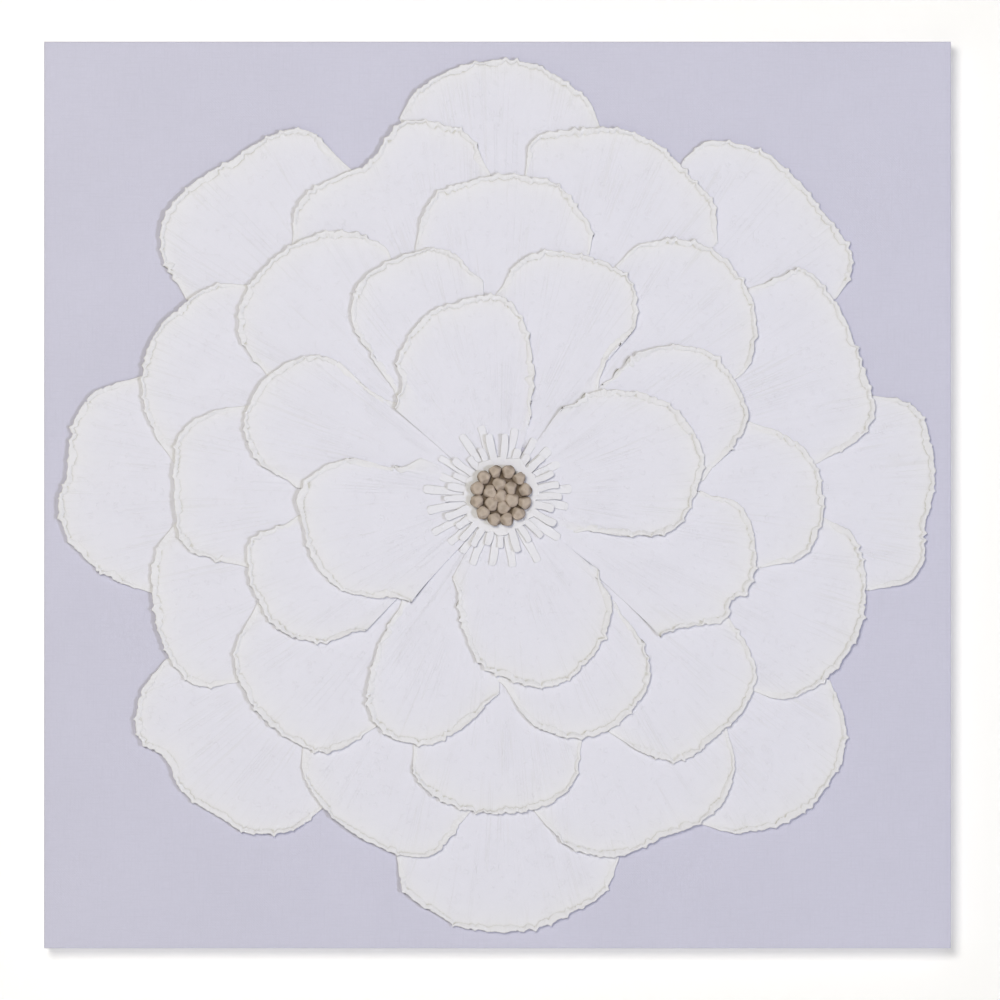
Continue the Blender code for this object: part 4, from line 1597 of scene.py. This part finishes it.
    def bed(self, middle: np.ndarray, finish: bpy.types.Material) -> bpy.types.Object:
        """The pat of clay that the seeds are pressed into.

        Args:
            middle: the middle of the cluster.
            finish: its material.

        Returns:
            A low turned mound, whose height falls from its middle as a quarter ellipse.
        """
        bearing = np.linspace(0.0, 2.0 * math.pi, self.sectors * 2, endpoint=False)
        rise = np.array([-1.0, -1.0, -0.4, 0.3, 0.8, 1.0])[:, None]
        reach = np.array([0.5, 0.94, 1.0, 0.97, 0.80, 0.4])[:, None]
        wide = self.bed_radius * reach * (1.0 + 0.03 * np.sin(5 * bearing) + 0.02 * np.sin(9 * bearing))
        depth = middle[1] + self.bed_drop - rise * self.bed_half + 0.0 * bearing
        points = np.stack((middle[0] + wide * np.cos(bearing), depth,
                           middle[2] + wide * np.sin(bearing)), axis=-1)
        faces = grid_faces(*wide.shape, ring=True)[:, ::-1].tolist()
        count = wide.shape[1]
        faces += [list(range(count))[::-1], list(range(wide.size - count, wide.size))]
        # Painted shade: the whole bed takes the clay's dark shade colour.
        return add_piece("seed_bed_clay", points.reshape(-1, 3), faces, finish, (), None,
                         {"painted_clay_shade": np.ones(wide.size)})


# Panel


@dataclass
class Panel:
    """The canvas wrapped over its bars, with its tucks, staples and hanger nails."""

    thickness: float = 0.8 * MM
    fold: float = 1.6 * MM
    hem: float = 25 * MM
    hem_pull: float = 0.35 * MM
    hem_fray: float = 0.5 * MM
    steps: int = 56
    tuck_inset: float = 1.5 * MM
    tuck_rise: float = 0.75 * MM
    staple_seed: int = 9
    staple_gap: float = 52 * MM
    staple_wide: float = 10 * MM
    wire_thick: float = 0.28 * MM
    wire_wide: float = 0.62 * MM
    wire_sides: int = 6
    nail_inset: float = 3.6 * MM
    nail_radius: float = 1.7 * MM
    nail_depth: float = 0.95 * MM
    nail_rise: float = 0.7 * MM

    def __post_init__(self) -> None:
        """Read the canvas's size from the frame."""
        low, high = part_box("canvas")
        self.half = float(high[0] - low[0]) / 2
        self.depth = float(high[1] - low[1])
        self.back = float(high[1])

    def profile(self) -> tuple[np.ndarray, np.ndarray]:
        """The cloth's section from the middle of the front, over the edge and round to the hem's end.

        Returns:
            Rows of (distance from the middle, depth), and the length travelled along the cloth.
        """
        front, half, radius = self.back - self.depth, self.half, self.fold
        path = [(half * share, front) for share in (0.05, 0.3, 0.55, 0.75, 0.88, 0.95, 0.985)]
        turns = np.linspace(0.0, math.pi / 2, 5)
        path += [(half - radius + radius * math.sin(a), front + radius - radius * math.cos(a)) for a in turns]
        path += [(half, front + self.depth * share) for share in (0.25, 0.5, 0.75)]
        path += [(half - radius + radius * math.cos(a), self.back - radius + radius * math.sin(a))
                 for a in turns]
        path += [(half - self.hem * share, self.back) for share in (0.25, 0.5, 0.75, 0.97, 1.0)]
        line = np.array(path)
        strides = np.linalg.norm(np.diff(line, axis=0), axis=1)
        return line, line[0, 0] + np.concatenate(([0.0], np.cumsum(strides)))

    def build_canvas(self, finish: bpy.types.Material) -> bpy.types.Object:
        """The cloth as rings of a square, each a step further along the section.

        The outer layer follows the section, and the inner one is offset by the cloth's thickness. The hem's
        edge waves by a cosine from staple to staple, and it frays by a product of two sines.

        Args:
            finish: its material.

        Returns:
            The canvas.
        """
        line, travelled = self.profile()
        slope = np.gradient(line, axis=0)
        slope /= np.linalg.norm(slope, axis=1)[:, None]
        inner = line + self.thickness * np.stack((-slope[:, 1], slope[:, 0]), axis=1)
        rows = np.concatenate((line, inner[::-1]))
        lengths = np.concatenate((travelled, travelled[::-1]))
        side = np.linspace(-1.0, 1.0, self.steps, endpoint=False)
        one = np.ones_like(side)
        x = np.concatenate((side, one, -side, -one))
        z = np.concatenate((one, -side, -one, side))
        reach = rows[:, 0][:, None]
        hem = ease((lengths[:, None] - self.half - self.depth) / self.hem)
        along = np.where(np.abs(z) >= np.abs(x), x, z) * self.half
        pull = hem * self.hem_pull * (1.0 - np.cos(2.0 * math.pi * along / self.staple_gap))
        fray = hem ** 4 * self.hem_fray * np.sin(along / (1.7 * MM)) * np.sin(along / (13 * MM))
        reach = reach + pull + fray
        points = np.stack((reach * x, rows[:, 1][:, None] + 0.0 * reach, reach * z), axis=-1)
        columns = len(x)
        faces = grid_faces(len(rows), columns, ring=True)[:, ::-1]
        caps = [list(range(columns))[::-1], list(range((len(rows) - 1) * columns, len(rows) * columns))]
        u = np.where(np.abs(x) == 1.0, np.sign(x) * lengths[:, None], points[..., 0])
        v = np.where(np.abs(z) == 1.0, np.sign(z) * lengths[:, None], points[..., 2])
        uv = np.stack((u, v), axis=-1)
        return add_piece("canvas_linen", points.reshape(-1, 3), faces.tolist() + caps, finish,
                         ("canvas",), uv.reshape(-1, 2))

    def build_tucks(self, finish: bpy.types.Material) -> bpy.types.Object:
        """The cloth folded under at the four corners, a soft wedge on each hem.

        Each tuck is a grid over a triangle, whose height rises from its edges as a blunt arch, laid on the
        hem and turned from corner to corner.

        Args:
            finish: the linen.

        Returns:
            The four tucks in one piece.
        """
        size, steps = self.hem * 1.02, 9
        s, t = np.meshgrid(np.linspace(0.0, 1.0, steps), np.linspace(0.0, 1.0, steps), indexing="ij")
        x = self.half - self.tuck_inset - size * s
        z = self.half - self.tuck_inset - size * s * (0.10 + 0.86 * t)
        arches = [np.clip(1.0 - (2.0 * share - 1.0) ** 6, 0.0, 1.0) for share in (s, t)]
        crown = np.sqrt(arches[0] * arches[1])
        upper = np.stack((x, self.back + 0.15 * MM + self.tuck_rise * crown, z), axis=-1).reshape(-1, 3)
        lower = np.stack((x, self.back - 0.30 * MM + 0.0 * x, z), axis=-1).reshape(-1, 3)
        quads = grid_faces(steps, steps)
        last = steps - 1
        line = np.arange(steps)
        edges = np.concatenate((line, line[1:] * steps + last, (last * steps + line[:-1])[::-1],
                                (line[1:-1] * steps)[::-1]))
        after = np.roll(edges, -1)
        count = steps * steps
        skirt = np.stack((edges, after, after + count, edges + count), axis=-1)
        faces = np.concatenate((quads[:, ::-1], quads + count, skirt[:, ::-1]))
        one = np.concatenate((upper, lower))
        points, every = [], []
        for k in range(4):
            turn = k * math.pi / 2
            turned = one.copy()
            turned[:, 0] = one[:, 0] * math.cos(turn) - one[:, 2] * math.sin(turn)
            turned[:, 2] = one[:, 0] * math.sin(turn) + one[:, 2] * math.cos(turn)
            points.append(turned)
            every.append(faces + k * len(one))
        points = np.concatenate(points)
        return add_piece("corner_tucks", points, np.concatenate(every).tolist(), finish, (),
                         points[:, [0, 2]] * 1.04)

    def build_staples(self, finish: bpy.types.Material) -> bpy.types.Object:
        """The staples that hold the hem, a flat wire bent to a bracket.

        The bracket's path goes out, across and in again, and a six-sided section is carried along it.

        Args:
            finish: the steel.

        Returns:
            Every staple in one piece.
        """
        rng = np.random.default_rng(self.staple_seed)
        half, sides = self.staple_wide / 2, self.wire_sides
        along = np.array([-half, -half, -half + 0.5 * MM, half - 0.5 * MM, half, half])
        out = np.array([-0.6, 0.10, 0.42, 0.42, 0.10, -0.6]) * MM
        tilt = np.array([0.0, 0.25, 0.5, 0.5, 0.75, 1.0]) * math.pi
        angle = np.arange(sides) * math.pi / 3
        lift, spread = self.wire_thick * np.cos(angle), self.wire_wide * np.sin(angle)
        ring = np.stack((along[:, None] - lift * np.cos(tilt)[:, None],
                         out[:, None] + lift * np.sin(tilt)[:, None],
                         np.broadcast_to(spread, (len(along), sides))), axis=-1).reshape(-1, 3)
        tube = grid_faces(len(along), sides, ring=True)[:, ::-1].tolist()
        tube += [list(range(sides))[::-1], list(range(len(ring) - sides, len(ring)))]
        count = int((2 * self.half - 2 * self.hem) / self.staple_gap)
        spots = (np.arange(count) - (count - 1) / 2) * self.staple_gap
        points, faces = [], []
        for side in range(4):
            for spot in spots:
                skew = rng.uniform(-0.14, 0.14)
                x = ring[:, 0] * math.cos(skew) - ring[:, 2] * math.sin(skew) + spot + rng.uniform(-3, 3) * MM
                z = ring[:, 0] * math.sin(skew) + ring[:, 2] * math.cos(skew)
                z = z + self.half - self.hem * rng.uniform(0.42, 0.60)
                turn = side * math.pi / 2
                points.append(np.stack((x * math.cos(turn) - z * math.sin(turn), self.back + ring[:, 1],
                                        x * math.sin(turn) + z * math.cos(turn)), axis=-1))
                start = (len(points) - 1) * len(ring)
                faces += [[start + corner for corner in face] for face in tube]
        return add_piece("hem_staples", np.concatenate(points), faces, finish)

    def build_nails(self, finish: bpy.types.Material) -> bpy.types.Object:
        """The nails that hold the hangers, as domed heads.

        A head is a half circle turned about its nail, and flattened.

        Args:
            finish: the steel.

        Returns:
            The four heads in one piece.
        """
        rise = np.linspace(0.0, math.pi, 9)
        bearing = np.linspace(0.0, 2 * math.pi, 24, endpoint=False)
        points, faces = [], []
        for name in ("hanger_left", "hanger_right"):
            low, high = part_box(name)
            for x in (low[0] + self.nail_inset, high[0] - self.nail_inset):
                wide = self.nail_radius * np.sin(rise)[1:-1, None]
                depth = high[1] - self.nail_depth - self.nail_rise * np.cos(rise)[1:-1, None]
                dome = np.stack((x + wide * np.cos(bearing), depth + 0.0 * bearing,
                                 (low[2] + high[2]) / 2 + wide * np.sin(bearing)), axis=-1)
                start = sum(len(p) for p in points)
                shell = grid_faces(len(wide), len(bearing), ring=True) + start
                size = wide.size * len(bearing)
                points.append(dome.reshape(-1, 3))
                faces += shell.tolist()
                faces.append(list(range(start, start + len(bearing))))
                faces.append(list(range(start + size - len(bearing), start + size))[::-1])
        return add_piece("hanger_nails", np.concatenate(points), faces, finish)

    def dress_wood(self, across: bpy.types.Material, upright: bpy.types.Material,
                   steel: bpy.types.Material) -> None:
        """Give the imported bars, braces and hangers their finishes.

        Args:
            across: pine for the level bars.
            upright: pine for the upright bars.
            steel: the hangers' finish.
        """
        for name, finish in (("bar_top", across), ("bar_bottom", across), ("brace_horizontal", across),
                             ("bar_left", upright), ("bar_right", upright), ("brace_vertical", upright),
                             ("hanger_left", steel), ("hanger_right", steel)):
            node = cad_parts[name]
            node.data.materials.clear()
            node.data.materials.append(finish)
            LOG.info("%s: %s", name, finish.name)


# Stage


@dataclass(frozen=True)
class SoftBox:
    """A square lamp aimed at the panel: where it stands, its side, its watts and its light."""

    name: str
    place: tuple[float, float, float]
    side: float
    power: float
    colour: tuple[float, float, float]

    def build(self) -> bpy.types.Object:
        """Set the lamp up.

        Returns:
            The lamp.
        """
        data = bpy.data.lights.new(self.name, "AREA")
        data.shape, data.size, data.energy = "SQUARE", self.side, self.power
        data.color = self.colour
        lamp = bpy.data.objects.new(self.name, data)
        lamp.location = self.place
        x, y, z = self.place
        length = math.sqrt(sum(c * c for c in self.place))
        lamp.rotation_euler = (math.acos(z / length), 0.0, math.atan2(y, x) + math.pi / 2)
        bpy.context.scene.collection.objects.link(lamp)
        return lamp


@dataclass
class Studio:
    """The wall, the floor, the lamps and the camera.

    The camera stands aside and below by these, and seen is the width that it sees at the canvas.
    """

    lens: float = 150.0
    sensor: float = 36.0
    seen: float = 1.1025
    aside: float = 2.76 * MM
    below: float = 5.5 * MM
    wall_gap: float = 0.5 * MM
    wall_half: float = 2.2
    wall_top: float = 1.6
    wall_glow: float = 0.33
    floor_drop: float = 0.35
    floor_half: float = 6.0
    front: SoftBox = SoftBox("front_box", (-0.80, -4.2, 0.95), 1.2, 97.0, (1.03, 1.005, 0.95))
    right: SoftBox = SoftBox("right_box", (4.0, -6.1, -0.6), 0.9, 178.0, (0.865, 0.915, 1.16))
    surround: tuple[float, float, float, float] = (1.0, 0.985, 0.93, 1.0)
    surround_light: float = 0.12
    surround_seen: float = 0.85

    def build_camera(self) -> None:
        """A long lens square to the panel, from the photograph's place."""
        low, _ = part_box("canvas")
        data = bpy.data.cameras.new("camera")
        data.lens, data.sensor_width = self.lens, self.sensor
        camera = bpy.data.objects.new("camera", data)
        camera.location = (self.aside, low[1] - self.seen * self.lens / self.sensor, -self.below)
        camera.rotation_euler = (math.pi / 2, 0.0, 0.0)
        data.clip_start, data.clip_end = 0.1, 50.0
        bpy.context.scene.collection.objects.link(camera)
        bpy.context.scene.camera = camera

    def add_plane(self, name: str, corners: list[tuple[float, float, float]],
                  finish: bpy.types.Material) -> bpy.types.Object:
        """Add a flat part of the stage.

        Args:
            name: the part.
            corners: its four corners.
            finish: its material.

        Returns:
            The part.
        """
        mesh = bpy.data.meshes.new(name)
        mesh.from_pydata(corners, [], [(0, 1, 2, 3)])
        mesh.materials.append(finish)
        plane = bpy.data.objects.new(name, mesh)
        bpy.context.scene.collection.objects.link(plane)
        return plane

    def wall_finish(self) -> bpy.types.Material:
        """White paint for the wall.

        Returns:
            Paint that is lit a little from within, so that it stays white, and clear from behind.
        """
        made, wiring, shader = new_finish("white wall", 0.9, 0.1)
        shader.inputs["Base Color"].default_value = (0.95, 0.95, 0.95, 1.0)
        shader.inputs["Emission Color"].default_value = (1.0, 1.0, 1.0, 1.0)
        shader.inputs["Emission Strength"].default_value = self.wall_glow
        clear = wiring.node("ShaderNodeBsdfTransparent")
        mix = wiring.node("ShaderNodeMixShader")
        behind = wiring.node("ShaderNodeNewGeometry").outputs["Backfacing"]
        wiring.feed(mix.inputs[0], behind)
        wiring.feed(mix.inputs[1], shader.outputs[0])
        wiring.feed(mix.inputs[2], clear.outputs[0])
        wiring.feed(made.node_tree.nodes["Material Output"].inputs[0], mix.outputs[0])
        return made

    def build_stage(self) -> None:
        """The wall that the panel hangs on, and a pale floor below it."""
        _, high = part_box("hanger_left")
        depth = high[1] + self.wall_gap
        wide, tall, floor = self.wall_half, self.wall_top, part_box("canvas")[0][2] - self.floor_drop
        self.add_plane("wall", [(-wide, depth, floor), (wide, depth, floor), (wide, depth, tall),
                                (-wide, depth, tall)], self.wall_finish())
        paint, _, shader = new_finish("pale floor", 0.7, 0.2)
        shader.inputs["Base Color"].default_value = (0.62, 0.62, 0.63, 1.0)
        far = self.floor_half
        self.add_plane("floor", [(-far, -far, floor), (far, -far, floor), (far, far, floor),
                                 (-far, far, floor)], paint)

    def build_light(self) -> None:
        """Even light from the front, a stronger one from the right that spares the wall, and a surround."""
        self.front.build()
        side = self.right.build()
        spared = bpy.data.collections.new("not lit from the side")
        spared.objects.link(bpy.data.objects["wall"])
        spared.collection_objects[0].light_linking.link_state = "EXCLUDE"
        side.light_linking.receiver_collection = spared
        world = bpy.data.worlds.new("surround")
        world.use_nodes = True
        surround = world.node_tree.nodes["Background"]
        surround.inputs["Color"].default_value = self.surround
        wiring = Wiring(world.node_tree)
        seen = wiring.node("ShaderNodeLightPath").outputs["Is Camera Ray"]
        strength = wiring.span(seen, 0.0, 1.0, self.surround_light, self.surround_seen)
        wiring.feed(surround.inputs["Strength"], strength)
        bpy.context.scene.world = world
        bpy.context.scene.view_settings.view_transform = "Standard"

    def build(self) -> None:
        """Everything that isn't the object."""
        self.build_camera()
        self.build_stage()
        self.build_light()


def main() -> None:
    """Build the panel, the flower and the studio, in that order."""
    logging.basicConfig(level=logging.INFO, format="%(message)s")
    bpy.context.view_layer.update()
    effects = Effects()
    panel = Panel()
    linen = LinenFinish().build(effects)
    canvas = panel.build_canvas(linen)
    panel.build_tucks(linen)
    steel = SteelFinish().build(effects)
    panel.build_staples(steel)
    panel.build_nails(steel)
    panel.dress_wood(PineFinish(Run.ACROSS).build(effects), PineFinish(Run.UPRIGHT).build(effects), steel)
    paper = PaperFinish("petal paper", (0.785, 0.778, 0.822, 1.0), (0.82, 0.812, 0.795, 1.0), creases=0.15)
    petal_finish = paper.build(effects)
    names = [name for ring in COVERED for name in sorted(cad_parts) if name.startswith("petal_" + ring)]
    for index, name in enumerate(names):
        ring = name.split("_")[1]
        lap = LAPS.get(ring, Petal.lap)
        Petal(name, PETAL_SEED + index, COVERED[ring], lap=lap).build(petal_finish)
    paper = PaperFinish("fringe paper", (0.81, 0.805, 0.82, 1.0), (0.82, 0.81, 0.795, 1.0))
    fringe_finish = paper.build(effects)
    for index, (name, slope) in enumerate(FRINGE_SLOPES.items()):
        Fringe(name, FRINGE_SEED + index, slope).build(fringe_finish)
    Seeds().build(ClayFinish().build(effects))
    Studio().build()


if __name__ == "__main__":
    main()
